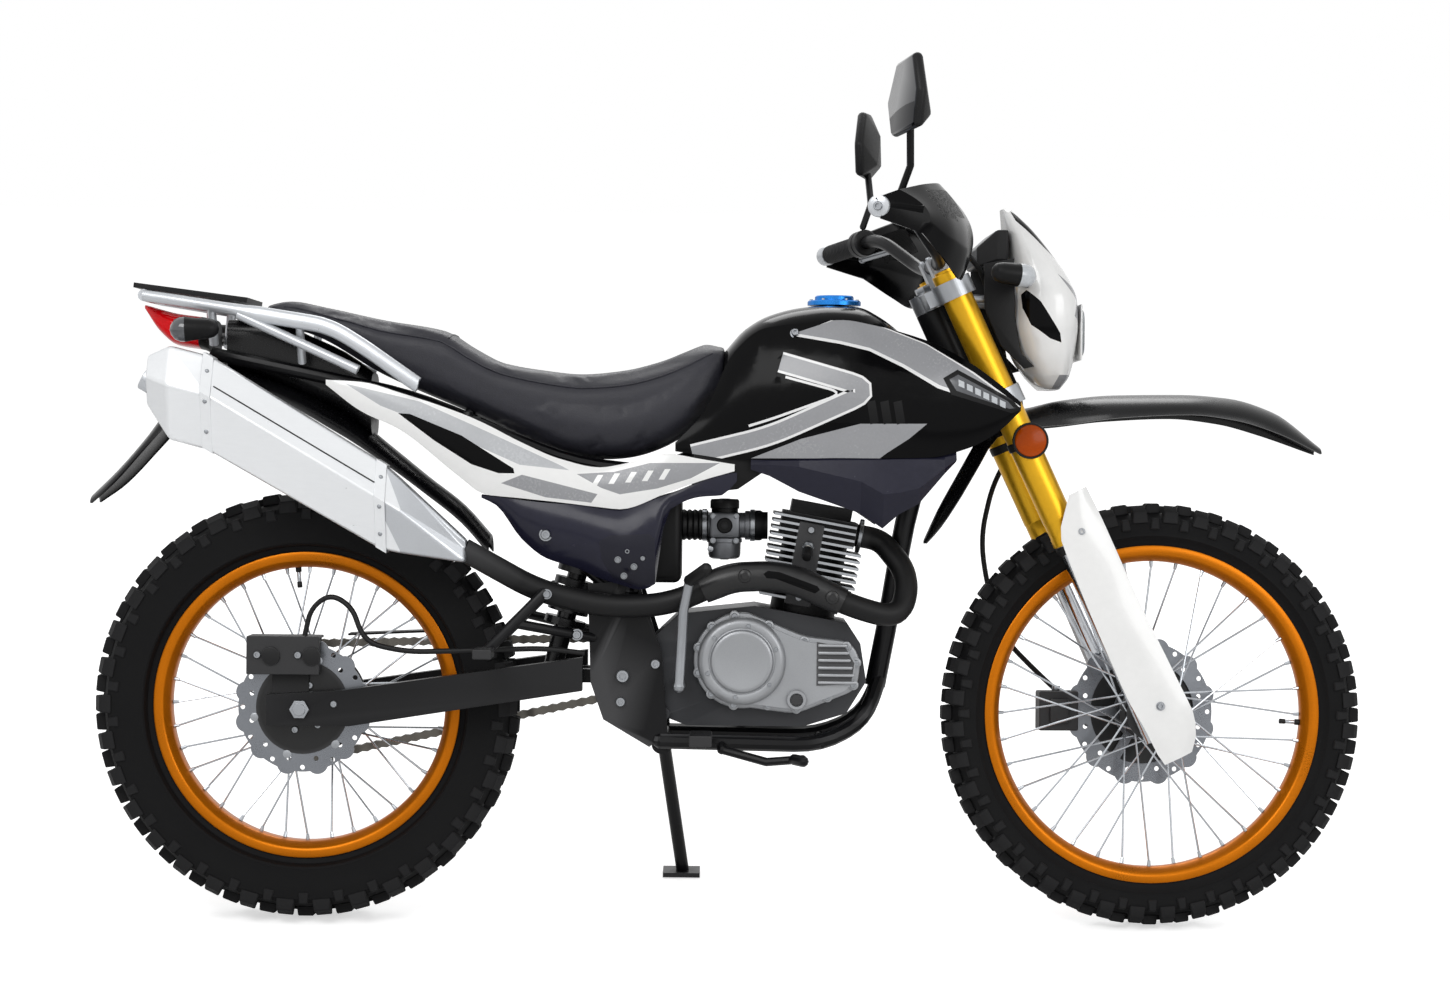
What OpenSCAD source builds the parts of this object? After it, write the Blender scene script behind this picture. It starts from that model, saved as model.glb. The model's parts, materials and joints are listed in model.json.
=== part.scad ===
// Trail motorcycle parked on its side stand, built from its real pieces.
// Every piece is drawn upright in the bike's own frame: +X forward, +Y left, +Z up, with the
// origin on the ground midway between the axles. park() then leans it onto the side stand.

/* [Stance] */
// Distance between the wheel axles
wheelbase = 1390; // [1340:5:1440]
// Lean to the left on the side stand, degrees
lean = 9; // [8:0.5:10]
// Steering turned to the left as parked, degrees
steer_rest = 4; // [0:1:6]
// Rake of the steering axis from upright, degrees
rake = 25; // [24:0.5:26]
// Front axle ahead of the fork legs
axle_lead = 21; // [16:1:26]
// Fork legs ahead of the steering axis
clamp_offset = 32; // [28:1:36]
// Sideways distance from the middle to a fork leg
leg_y = 97; // [92:1:102]

/* [Wheels] */
// Radius of the front tyre over its lugs
front_tyre_r = 348; // [340:1:356]
// Width of the front tyre
front_tyre_w = 84; // [76:1:92]
// Height of the front tyre over its rim's flange
front_wall = 70; // [66:1:76]
// Width of the front rim
front_rim_w = 54; // [50:1:58]
// Pitches of lugs round the front tyre
front_lugs = 40; // [32:1:44]
// Radius of the rear tyre over its lugs
rear_tyre_r = 350; // [342:1:358]
// Width of the rear tyre
rear_tyre_w = 118; // [108:1:120]
// Height of the rear tyre over its rim's flange
rear_wall = 98; // [92:1:104]
// Width of the rear rim
rear_rim_w = 66; // [60:1:72]
// Pitches of lugs round the rear tyre
rear_lugs = 34; // [28:1:38]
// Height of the lugs
lug_h = 15; // [10:1:18]
// Spokes in each wheel
spokes = 36; // [28:4:40]
// Radius of a spoke
spoke_r = 1.9; // [1.5:0.1:2.5]
// Radius of both wheel axles
axle_r = 10; // [8:0.5:12]
// Radius of each hub's barrel
hub_r = 24; // [20:1:28]
// Radius of the hub flanges that hold the spokes
hub_flange_r = 44; // [38:1:50]
// Radius of the front brake disc
front_disc_r = 125; // [115:1:130]
// Radius of the rear brake disc
rear_disc_r = 112; // [100:1:118]
// Thickness of both brake discs
disc_t = 4.5; // [3.5:0.5:6]

/* [Fork and bars] */
// Radius of the fork's outer tubes
fork_tube_r = 25; // [22:0.5:28]
// Radius of the fork's sliders
slider_r = 20.5; // [18:0.5:22]
// Radius of the steering stem
stem_r = 15; // [12:0.5:17]
// Radius of the head tube
head_tube_r = 28; // [24:0.5:30]
// Lower clamp's place up the steering axis from the front axle
lower_clamp_z = 576; // [565:1:585]
// Upper clamp's place up the steering axis from the front axle
upper_clamp_z = 771; // [760:1:780]
// Lower end of the fork's outer tubes, up the steering axis from the front axle
fork_tube_end_z = 320; // [300:1:340]
// Thickness of the fork clamps
clamp_t = 30; // [24:1:34]
// Radius of the handlebar
bar_r = 11; // [10:0.5:14]
// Half the width of the handlebar
bar_half_w = 405; // [380:1:420]

/* [Frame and engine] */
// Radius of the frame's main tubes
frame_tube_r = 17; // [14:0.5:20]
// Radius of the cradle and seat rails
rail_r = 13; // [11:0.5:15]
// Sideways place of the cradle rails
rail_y = 96; // [92:1:100]
// Half the width of the crankcase
case_half_w = 78; // [70:1:82]
// Height of the rear swingarm's beams
arm_h = 54; // [44:1:58]
// Width of the rear swingarm's beams
arm_w = 26; // [22:1:28]
// Sideways place of the swingarm's beams
arm_y = 104; // [102:1:108]
// Radius of the chain's path round the rear sprocket
rear_chain_r = 95; // [88:1:102]
// Radius of the chain's path round the front sprocket
front_chain_r = 40; // [36:1:44]
// Sideways place of the chain
chain_y = 74; // [73:0.5:75]
// Links in the chain
chain_links = 96; // [80:2:100]
// Radius of the exhaust header
header_r = 19; // [16:0.5:21]

/* [Bodywork] */
// Thickness of the plastic panels
panel_t = 5; // [3:0.5:6]
// Thickness of the front mudguard
guard_t = 4; // [3:0.5:5]

/* [Hidden] */
$fn = 48;

// Gap between faces that run on each other
run_gap = 0.06;
// Gap between faces that stand beside each other
side_gap = 0.3;
// Shift that puts the origin under the middle of the parked bike
park_shift = [5, -175, 0];

// Tread columns of a tyre: sideways share of the width, drop of the valley, drop of the tip,
// and whether the column stands in the shoulder lugs (0) or the centre lugs (1)
tread_columns = [
    [-0.50, 32, 14, 0],
    [-0.27, 17, 3, 0],
    [-0.17, 15, 0, 1],
    [0.17, 15, 0, 1],
    [0.27, 17, 3, 0],
    [0.50, 32, 14, 0]
];
// Share of a lug pitch at which shoulder lugs start and end, then centre lugs start and end
lug_phases = [0.02, 0.46, 0.52, 0.96];
// Depth of a tyre's bead seat below the rim flange
bead_drop = 12;
// Radii of the rims' flanges
front_rim_r = front_tyre_r - front_wall;
rear_rim_r = rear_tyre_r - rear_wall;

// Height of an axle in the leaning bike, so that the tyre's lowest lug meets the ground
function axle_height(tyre_r, tyre_w) =
    max([for (c = tread_columns) tyre_r - c[2] + c[0] * tyre_w * tan(lean)]);

front_axle_z = axle_height(front_tyre_r, front_tyre_w);
rear_axle_z = axle_height(rear_tyre_r, rear_tyre_w);
front_axle_at = [wheelbase / 2, 0, front_axle_z];
rear_axle_at = [-wheelbase / 2, 0, rear_axle_z];

// Steering axis: its foot beside the front axle, and its directions forward and up
axis_forward = [cos(rake), 0, sin(rake)];
axis_up = [-sin(rake), 0, cos(rake)];
axis_foot = front_axle_at - (axle_lead + clamp_offset) * axis_forward;
// Axles that the pieces beside them are drawn for, and how far those pieces move with the real axles
drawn_front_axle = [695, 0, 350.26];
drawn_rear_axle = [-695, 0, 353.18];
front_move = front_axle_at - drawn_front_axle;
rear_move = rear_axle_at - drawn_rear_axle;

// Swingarm pivot and front sprocket
pivot_at = [-185, 0, 418];
sprocket_at = [-110, 0, 425];
// Middle of the clutch cover's round face
clutch_at = [19, 0, 438];
// Foot of the cylinder on the crankcase, and its lean forward
cylinder_at = [118, 0, 512];
cylinder_tilt = 10;
// Side stand: pivot, foot on the ground, and the direction of the folded leg
stand_pivot = [-112, 132, 292];
stand_foot_y = 262;
stand_foot = [-78, stand_foot_y, stand_foot_y * tan(lean) + 7 / cos(lean)];
stand_folded = unit([-0.985, 0.12, -0.12]);
stand_down = unit(stand_foot - stand_pivot);
stand_axis = unit(cross(stand_down, stand_folded));

// Small vector helpers
function unit(v) = v / norm(v);
function last(v) = v[len(v) - 1];
function flat(v) = [for (row = v) for (item = row) item];

// Leaning, steered and placing modules
module park() { translate(park_shift) rotate([-lean, 0, 0]) children(); }
module steered() {
    translate(axis_foot) rotate([0, -rake, 0]) rotate([0, 0, steer_rest]) rotate([0, rake, 0])
        translate(-axis_foot) children();
}
module on_nose() { steered() translate(front_move) children(); }
module on_axis() {
    translate(axis_foot) rotate([0, -rake, 0]) rotate([0, 0, steer_rest]) children();
}
module both_sides() {
    children();
    mirror([0, 1, 0]) children();
}
// Cylinder across the bike, between two sideways places
module across(x, z, y0, y1, r) { translate([x, y0, z]) rotate([-90, 0, 0]) cylinder(r = r, h = y1 - y0); }
// Cylinder between two points
module bar(a, b, r) {
    d = b - a;
    translate(a) rotate([0, acos(d[2] / norm(d)), atan2(d[1], d[0])]) cylinder(r = r, h = norm(d));
}
// Rod with round ends between two points
module rod(a, b, r, sides = 10) {
    hull() {
        translate(a) sphere(r, $fn = sides);
        translate(b) sphere(r, $fn = sides);
    }
}

// Skins through rings of points. Each ring turns anticlockwise seen from the far end.
function side_faces(n, k) = flat([
    for (i = [0 : n - 2], j = [0 : k - 1]) [
        [i * k + j, (i + 1) * k + j, (i + 1) * k + (j + 1) % k],
        [i * k + j, (i + 1) * k + (j + 1) % k, i * k + (j + 1) % k]
    ]
]);
function cap_faces(k) = flat([
    for (i = [0 : k / 2 - 2]) [[i, i + 1, k - 2 - i], [i, k - 2 - i, k - 1 - i]]
]);
module skin(rings) {
    k = len(rings[0]);
    n = len(rings);
    end = [for (f = cap_faces(k)) [for (v = [2, 1, 0]) f[v] + (n - 1) * k]];
    polyhedron(points = flat(rings), faces = concat(side_faces(n, k), cap_faces(k), end));
}
// Closed loop of rings, such as a chain
module loop_skin(rings) {
    k = len(rings[0]);
    n = len(rings);
    polyhedron(points = flat(rings), faces = flat([
        for (i = [0 : n - 1], j = [0 : k - 1])
            let (m = (i + 1) % n, l = (j + 1) % k)
                [[i * k + j, m * k + j, m * k + l], [i * k + j, m * k + l, i * k + l]]
    ]));
}
// Ring of a soft rectangle across the bike
function soft_ring(x, z_lo, z_hi, half_w, power, k = 20) = [
    for (i = [0 : k - 1])
        let (a = 360 * (i + 0.5) / k, c = cos(a), s = sin(a))
            [x, half_w * sign(c) * pow(abs(c), 2 / power),
             (z_lo + z_hi) / 2 + (z_hi - z_lo) / 2 * sign(s) * pow(abs(s), 2 / power)]
];
// Panel on the left side, from rows of [x, z_lo, z_hi, y_lo, y_mid, y_hi]
module panel(rows, t = panel_t) {
    skin([for (r = rows) let (z_mid = (r[1] + r[2]) / 2) [
        [r[0], r[3], r[1]], [r[0], r[4], z_mid], [r[0], r[5], r[2]],
        [r[0], r[5] - t, r[2]], [r[0], r[4] - t, z_mid], [r[0], r[3] - t, r[1]]
    ]]);
}
// Arched guard over a wheel, from rows of [x, z_edge, z_crown, half_w]
module arched(rows, t = guard_t, k = 7) {
    skin([for (r = rows) concat(
        [for (i = [0 : k - 1]) let (a = 180 * i / (k - 1))
            [r[0], r[3] * cos(a), r[1] + (r[2] - r[1]) * sin(a)]],
        [for (i = [k - 1 : -1 : 0]) let (a = 180 * i / (k - 1))
            [r[0], (r[3] - t) * cos(a), r[1] + (r[2] - r[1] - t) * sin(a)]]
    )]);
}

// Tubes swept along a route whose corners are rounded
function bend(p, radius, steps = 4) = concat([p[0]], [
    for (i = [1 : len(p) - 2])
        let (u = p[i - 1] - p[i], v = p[i + 1] - p[i])
        let (d = min(radius, norm(u) / 2.05, norm(v) / 2.05))
        let (a = p[i] + d * unit(u), b = p[i] + d * unit(v))
        for (s = [0 : steps]) let (t = s / steps) (1 - t) * (1 - t) * a + 2 * t * (1 - t) * p[i] + t * t * b
], [last(p)]);
function tangents(p) = [
    for (i = [0 : len(p) - 1]) unit(p[min(i + 1, len(p) - 1)] - p[max(i - 1, 0)])
];
function carried(ts, n, i = 0) =
    i == len(ts) ? [] : let (m = unit(n - (n * ts[i]) * ts[i])) concat([m], carried(ts, m, i + 1));
module tube(p, r, sides = 10) {
    ts = tangents(p);
    ns = carried(ts, abs(ts[0][1]) > 0.7 ? [0, 0, 1] : [0, 1, 0]);
    skin([for (i = [0 : len(p) - 1]) let (b = cross(ts[i], ns[i]))
        [for (j = [0 : sides - 1]) p[i] + r * (cos(360 * j / sides) * ns[i] + sin(360 * j / sides) * b)]]);
}

// Wheels

// Tyre round the Y axis at the origin: lugs on a carcass that closes down to the bead
module tyre(tyre_r, tyre_w, rim_r, rim_w, lugs) {
    step = 360 / lugs;
    turn = -90 - step * (lug_phases[2] + lug_phases[3]) / 2;
    tread = [
        for (p = [0 : lugs - 1], f = [0 : 3], c = tread_columns)
            let (a = turn + step * (p + lug_phases[f]), up = (c[3] == 0) == (f < 2))
            let (r = tyre_r - (up ? c[2] : c[2] + min(lug_h, c[1] - c[2])))
                [r * cos(a), c[0] * tyre_w, r * sin(a)]
    ];
    bead_r = (rim_r - bead_drop + side_gap) / cos(180 / lugs);
    bead_y = rim_w / 2 - 3.5;
    wide_r = (rim_r + tyre_r) / 2 - 4;
    wide_y = tyre_w / 2 - 5;
    wall = [[-wide_y, wide_r], [-bead_y, rim_r + 2], [-bead_y, bead_r],
            [bead_y, bead_r], [bead_y, rim_r + 2], [wide_y, wide_r]];
    carcass = [
        for (p = [0 : lugs - 1], w = wall) let (a = turn + step * p) [w[1] * cos(a), w[0], w[1] * sin(a)]
    ];
    k = len(tread_columns);
    m = len(wall);
    n = 4 * lugs;
    base = n * k;
    function t(i, j) = (i % n) * k + j;
    function c(p, j) = base + (p % lugs) * m + j;
    tread_faces = flat([
        for (i = [0 : n - 1], j = [0 : k - 2])
            [[t(i, j), t(i + 1, j), t(i + 1, j + 1)], [t(i, j), t(i + 1, j + 1), t(i, j + 1)]]
    ]);
    wall_faces = flat([
        for (p = [0 : lugs - 1], j = [0 : m - 2])
            [[c(p, j + 1), c(p + 1, j + 1), c(p + 1, j)], [c(p, j + 1), c(p + 1, j), c(p, j)]]
    ]);
    near_faces = flat([for (p = [0 : lugs - 1]) [
        [c(p, 0), t(4 * p + 1, 0), t(4 * p, 0)], [c(p, 0), t(4 * p + 2, 0), t(4 * p + 1, 0)],
        [c(p, 0), c(p + 1, 0), t(4 * p + 2, 0)],
        [c(p + 1, 0), t(4 * p + 3, 0), t(4 * p + 2, 0)], [c(p + 1, 0), t(4 * p + 4, 0), t(4 * p + 3, 0)]
    ]]);
    e = k - 1;
    h = m - 1;
    far_faces = flat([for (p = [0 : lugs - 1]) [
        [c(p, h), t(4 * p, e), t(4 * p + 1, e)], [c(p, h), t(4 * p + 1, e), t(4 * p + 2, e)],
        [c(p, h), t(4 * p + 2, e), c(p + 1, h)],
        [c(p + 1, h), t(4 * p + 2, e), t(4 * p + 3, e)], [c(p + 1, h), t(4 * p + 3, e), t(4 * p + 4, e)]
    ]]);
    polyhedron(points = concat(tread, carcass), faces = concat(tread_faces, wall_faces, near_faces, far_faces));
}
// Rim round the Y axis: flanges, bead seats and a dropped middle
module rim(rim_r, rim_w) {
    half = [[0, 3], [bead_drop, 3.2], [bead_drop, 10], [bead_drop + 10, 16]];
    top = [for (s = half) [rim_r - s[0], rim_w / 2 - s[1]]];
    back = [[rim_r - bead_drop - 14, rim_w / 2 - 20], [rim_r - bead_drop - 3, rim_w / 2], [rim_r, rim_w / 2]];
    right = concat(back, top);
    left = [for (i = [len(right) - 1 : -1 : 0]) [right[i][0], -right[i][1]]];
    rotate([90, 0, 0]) rotate_extrude($fn = 96) polygon(concat(right, left));
}
// Crossed spokes on a sleeve with two flanges
module wire_wheel(rim_r, flange_y) {
    rim_hole_r = rim_r - bead_drop - 14 - spoke_r - 0.1;
    for (i = [0 : spokes - 1]) {
        side = i % 2 == 0 ? 1 : -1;
        cross_turn = floor(i / 2) % 2 == 0 ? 52 : -52;
        a = 360 * i / spokes;
        b = a + cross_turn;
        lift = cross_turn > 0 ? 2 : -2;
        rod([(hub_flange_r - 4) * cos(b), side * flange_y + lift, (hub_flange_r - 4) * sin(b)],
            [rim_hole_r * cos(a), side * 5, rim_hole_r * sin(a)], spoke_r, 4);
    }
    difference() {
        union() {
            across(0, 0, -flange_y - 5, flange_y + 5, hub_r + 7, $fn = 24);
            for (s = [-1, 1]) across(0, 0, s * flange_y - 4, s * flange_y + 4, hub_flange_r, $fn = 24);
        }
        across(0, 0, -flange_y - 6, flange_y + 6, (hub_r + side_gap) / cos(7.5), $fn = 24);
    }
}
// Scalloped brake disc in the XZ plane, from y to y + disc_t
module brake_disc(disc_r, y, hole_r) {
    waves = 12;
    band = 30;
    translate([0, y + disc_t, 0]) rotate([90, 0, 0]) linear_extrude(disc_t) {
        difference() {
            union() {
                circle(disc_r - 7);
                for (i = [0 : waves - 1]) rotate(360 * (i + 0.5) / waves)
                    translate([disc_r - 17, 0]) circle(17);
            }
            circle(disc_r - band - 8);
            for (i = [0 : 2 * waves - 1]) rotate(360 * i / waves / 2) translate([disc_r - 14 - 12 * (i % 2), 0])
                circle(4, $fn = 16);
        }
        difference() {
            union() {
                circle(hub_flange_r + 4);
                for (i = [0 : 5]) rotate(60 * i) translate([0, -8]) square([disc_r - band - 2, 16]);
            }
            circle(hole_r);
        }
    }
}

// Places along the front axle: hub ends, disc and the fork lugs' inner faces
front_hub_y = [-58, 62];
lug_half_w = 18;
front_disc_y = front_hub_y[1];
rear_hub_y = [-76, 70];
rear_disc_y = rear_hub_y[0] - disc_t;

module front_wheel_at() { park() steered() translate(front_axle_at) children(); }
module rear_wheel_at() { park() translate(rear_axle_at) children(); }

module front_tyre() {
    color("#1c1c1e") front_wheel_at() tyre(front_tyre_r, front_tyre_w, front_rim_r, front_rim_w, front_lugs);
}
module rear_tyre() {
    color("#1c1c1e") rear_wheel_at() tyre(rear_tyre_r, rear_tyre_w, rear_rim_r, rear_rim_w, rear_lugs);
}
module front_rim() { color("#d87a00") front_wheel_at() rim(front_rim_r, front_rim_w); }
module rear_rim() { color("#d87a00") rear_wheel_at() rim(rear_rim_r, rear_rim_w); }
module front_spokes() { color("#c8ccd0") front_wheel_at() wire_wheel(front_rim_r, 32); }
module rear_spokes() { color("#c8ccd0") rear_wheel_at() wire_wheel(rear_rim_r, 40); }
module front_hub() {
    color("#1d1d20") front_wheel_at() difference() {
        across(0, 0, front_hub_y[0], front_hub_y[1], hub_r);
        across(0, 0, front_hub_y[0] - 1, front_hub_y[1] + 1, axle_r + run_gap);
    }
}
module rear_hub() {
    sprocket_t = 7;
    color("#1d1d20") rear_wheel_at() difference() {
        union() {
            across(0, 0, rear_hub_y[0], rear_hub_y[1], hub_r);
            across(0, 0, chain_y - sprocket_t / 2, chain_y + sprocket_t / 2, rear_chain_r - 8);
            across(0, 0, 50, chain_y - sprocket_t / 2, hub_flange_r + 8);
        }
        across(0, 0, rear_hub_y[0] - 1, chain_y + sprocket_t, axle_r + run_gap);
        for (i = [0 : 5]) rotate([0, 60 * i, 0]) across(68, 0, 48, chain_y + sprocket_t, 11);
    }
}
module front_disc() {
    color("#8a8d92") front_wheel_at() brake_disc(front_disc_r, front_disc_y, axle_r + 6);
}
module rear_disc() {
    color("#8a8d92") rear_wheel_at() brake_disc(rear_disc_r, rear_disc_y, axle_r + 6);
}

// Front fork and what turns with it, drawn up the steering axis from the front axle

module front_axle() {
    lug_in = leg_y - lug_half_w;
    color("#9a9da2") park() steered() translate(front_axle_at) {
        across(0, 0, -leg_y - lug_half_w - 8.6, leg_y + lug_half_w + 8.6, axle_r);
        across(0, 0, -lug_in + side_gap, front_hub_y[0] - side_gap, axle_r + 5);
        across(0, 0, front_disc_y + disc_t + side_gap, lug_in - side_gap, axle_r + 5);
        for (s = [-1, 1]) let (nut_y = s * (leg_y + lug_half_w + 3.5))
            across(0, 0, nut_y - 3, nut_y + 3, 15, $fn = 6);
    }
}
module fork_sliders() {
    color("#b9bcc0") park() on_axis() both_sides() difference() {
        union() {
            translate([clamp_offset, leg_y, -30]) cylinder(r = slider_r, h = fork_tube_end_z + 30);
            translate([clamp_offset - 8, leg_y - lug_half_w, -34])
                cube([axle_lead + 34, 2 * lug_half_w, 62]);
        }
        translate([clamp_offset + axle_lead, leg_y - 60, 0]) rotate([-90, 0, 0])
            cylinder(r = axle_r + side_gap, h = 120);
        for (y = [leg_y - 60, leg_y + lug_half_w]) translate([clamp_offset + axle_lead, y, 0])
            rotate([-90, 0, 0]) cylinder(r = axle_r + 5 + 2 * side_gap, h = 60 - lug_half_w);
    }
}
module fork_tubes() {
    color("#e8b020") park() on_axis() both_sides() {
        translate([clamp_offset, leg_y, fork_tube_end_z])
            cylinder(r = fork_tube_r, h = upper_clamp_z + clamp_t - fork_tube_end_z);
        translate([clamp_offset, leg_y, upper_clamp_z + clamp_t]) cylinder(r = fork_tube_r - 6, h = 5);
    }
}
module fork_guards() {
    // rows of [up the leg, forward edge, rear edge, sideways face at the middle]
    rows = [[-70, 40, -10, 27], [-50, 56, -14, 28], [-10, 68, -16, 30], [60, 66, -22, 30], [200, 62, -20, 30],
            [330, 62, -14, 33], [392, 60, 28, 33]];
    t = 4;
    color("#f4f4f4") park() on_axis() both_sides() translate([clamp_offset, leg_y, 0])
        skin([for (r = rows) [
            [r[2], r[3] - t, r[0]], [(r[1] + r[2]) / 2, r[3] + 2 - t, r[0]], [r[1], r[3] - 6 - t, r[0]],
            [r[1], r[3] - 6, r[0]], [(r[1] + r[2]) / 2, r[3] + 2, r[0]], [r[2], r[3], r[0]]
        ]]);
}
module cowl_stays() {
    on_nose() both_sides() bar([352, 58, 1030], [454.4, 58, 1026], 7);
}
module fork_clamps() {
    color("#b4b6ba") park() {
        cowl_stays();
        clamp_pair();
    }
}
module clamp_pair() {
    on_axis() difference() {
        union() {
            for (z = [lower_clamp_z, upper_clamp_z]) {
                translate([0, 0, z - clamp_t / 2]) cylinder(r = head_tube_r, h = clamp_t);
                for (s = [-1, 1]) {
                    translate([clamp_offset, s * leg_y, z - clamp_t / 2])
                        cylinder(r = fork_tube_r + 8, h = clamp_t);
                }
                translate([-14, -leg_y + 10, z - clamp_t / 2 + 2])
                    cube([clamp_offset + 26, 2 * leg_y - 20, clamp_t - 4]);
            }
            translate([0, 0, lower_clamp_z]) cylinder(r = stem_r, h = upper_clamp_z - lower_clamp_z);
            for (s = [-1, 1]) translate([clamp_offset - 14, s * 42 - 14, upper_clamp_z])
                cube([28, 28, 62]);
        }
        for (s = [-1, 1]) translate([clamp_offset, s * leg_y, lower_clamp_z - clamp_t])
            cylinder(r = fork_tube_r + run_gap, h = upper_clamp_z - lower_clamp_z + 2 * clamp_t);
        translate([clamp_offset, -70, upper_clamp_z + 50]) rotate([-90, 0, 0])
            cylinder(r = bar_r + side_gap, h = 140);
    }
}
// Bar middle in the upper clamp's risers, then rise and sweep back to the grips
bar_mid = axis_foot + clamp_offset * axis_forward + (upper_clamp_z + 50) * axis_up;
bar_rise = 62;
bar_back = 132;
bar_route = [
    bar_mid + [-bar_back, -bar_half_w, bar_rise - 8], bar_mid + [-bar_back + 66, -215, bar_rise + 4],
    bar_mid + [0, -112, 0], bar_mid + [0, 112, 0],
    bar_mid + [-bar_back + 66, 215, bar_rise + 4], bar_mid + [-bar_back, bar_half_w, bar_rise - 8]
];
grip_dir = unit(bar_route[5] - bar_route[4]);
grip_end = bar_route[5];

module handlebar() {
    color("#202022") park() steered() tube(bend(bar_route, 44, 5), bar_r, 12);
}
// Grips, lever perches and switch boxes, round the bar's straight ends
module bar_controls() {
    color("#161618") park() steered() both_sides() {
        difference() {
            union() {
                bar(grip_end - 118 * grip_dir, grip_end - 2 * grip_dir, 16.5);
                bar(grip_end - 152 * grip_dir, grip_end - 119 * grip_dir, 23);
                bar(grip_end - 150 * grip_dir + [4, 0, 2], grip_end - 136 * grip_dir + [70, 2, -6], 6);
                bar(grip_end - 138 * grip_dir + [68, 0, -6], grip_end - 14 * grip_dir + [52, 0, -10], 6.2);
            }
            bar(grip_end - 200 * grip_dir, grip_end + 20 * grip_dir, bar_r + side_gap);
        }
    }
}
module handguards() {
    // rows of [along the grip from its end, forward, z_lo, z_hi]
    rows = [[16, 62, -40, 26], [-50, 88, -84, 38], [-110, 96, -108, 42], [-170, 92, -84, 34],
            [-205, 78, -46, 20]];
    top_back = 36;
    t = 4;
    color("#0e0e10") park() steered() both_sides() {
        union() {
            skin([for (i = [len(rows) - 1 : -1 : 0]) let (r = rows[i], o = grip_end + r[0] * grip_dir) [
                o + [r[1] + t - top_back, 0, r[3]], o + [r[1] + 9 + t, 0, (r[2] + r[3]) / 2],
                o + [r[1] + t, 0, r[2]], o + [r[1], 0, r[2]], o + [r[1] + 9, 0, (r[2] + r[3]) / 2],
                o + [r[1] - top_back, 0, r[3]]
            ]]);
            bar(grip_end + 17 * grip_dir, grip_end + 14 * grip_dir + [70, 0, 0], 7);
            bar(grip_end + side_gap * grip_dir, grip_end + 25 * grip_dir, 17);
        }
    }
}
module mirrors() {
    root = grip_end - 136 * grip_dir + [0, 0, 29.6];
    head = root + [10, 32, 106];
    skew = 0.24;
    // points of the mirror's head as [back, sideways, up], with its glass at the rear
    points = [[-6, -44, -30], [-6, 50, -26], [-6, -58, 14], [-6, 62, 20], [-6, -22, 66], [-6, 44, 72],
              [12, -22, -14], [12, 30, -10], [14, 2, 34]];
    color("#1a1a1c") park() steered() both_sides() {
        rod(root, root + [14, 4, 40], 6);
        rod(root + [14, 4, 40], head, 6);
        hull() for (q = points) translate(head + [q[0] + q[1] * skew, q[1], q[2] + 20]) sphere(9, $fn = 12);
    }
}
module cowl() {
    // rows of [height, rear, front, half width]
    rows = [[884, 505, 538, 44], [905, 486, 552, 74], [945, 462, 560, 100], [985, 452, 564, 112],
            [1025, 452, 562, 114], [1062, 454, 548, 106], [1100, 452, 522, 92], [1142, 446, 490, 66],
            [1180, 440, 456, 20]];
    color("#f2f2f2") park() on_nose() skin([for (r = rows) [
        for (i = [0 : 19]) let (a = 360 * (i + 0.5) / 20, c = cos(a), s = sin(a))
            [(r[1] + r[2]) / 2 + (r[2] - r[1]) / 2 * sign(c) * pow(abs(c), 0.7),
             r[3] * sign(s) * pow(abs(s), 0.7), r[0]]
    ]]);
}
module headlight() {
    color("#d8dde2") park() on_nose() translate([564.3, 0, 976]) rotate([0, 90, 0]) hull() {
        linear_extrude(3) square([92, 128], center = true);
        linear_extrude(10) square([70, 96], center = true);
    }
}
module instruments() {
    color("#18181a") park() on_nose() {
        hull() {
            translate([392, -58, 1082]) cube([30, 116, 30]);
            translate([426, -62, 1094]) cube([19.6, 124, 48]);
        }
    }
}
module front_signals() {
    color("#202024") park() on_nose() both_sides() {
        bar([469.7, 97.4, 1050.7], [446, 130, 1060], 7);
        hull() {
            translate([420, 150, 1064]) sphere(17, $fn = 24);
            translate([458, 142, 1060]) sphere(20, $fn = 24);
        }
    }
}
module front_mudguard() {
    // rows of [x, z_edge, z_crown, half_w]
    rows = [[318, 628, 636, 14], [340, 655, 684, 32], [372, 705, 742, 44], [400, 755, 792, 50],
            [430, 802, 845.3, 54], [480, 818, 852, 60], [540, 824, 866, 66], [630, 836, 876, 88],
            [745, 842, 878, 88], [820, 834, 873, 80], [893, 814, 852, 66], [975, 782, 794, 26]];
    color("#17171a") park() on_nose() arched(rows);
}
module front_caliper() {
    color("#1c1c20") park() on_nose() difference() {
        union() {
            translate([519, 46, 318]) cube([66, 44, 66]);
            translate([580, 72, 334]) cube([66, 11, 34]);
        }
        translate([drawn_front_axle[0], front_disc_y - 3, drawn_front_axle[2]]) rotate([-90, 0, 0])
            cylinder(r = front_disc_r + 4, h = disc_t + 6);
    }
}
// Front brake hose, from the lever on the right grip to the caliper
front_hose_route = [
    [300, -238, 1112], [350, -150, 1108], [396, -86, 1074], [420, -12, 1036], [434, 40, 985], [462, 62, 925],
    [492, 84, 872], [494, 140, 800], [454, 146, 735], [432, 142, 640], [442, 134, 560], [468, 118, 470],
    [520, 96, 416], [548, 74, 387.7]
];
module front_brake_hose() {
    color("#101012") park() on_nose() tube(bend(front_hose_route, 40, 2), 4.5, 8);
}

// Frame, stand bracket, swingarm and rear suspension

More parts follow.
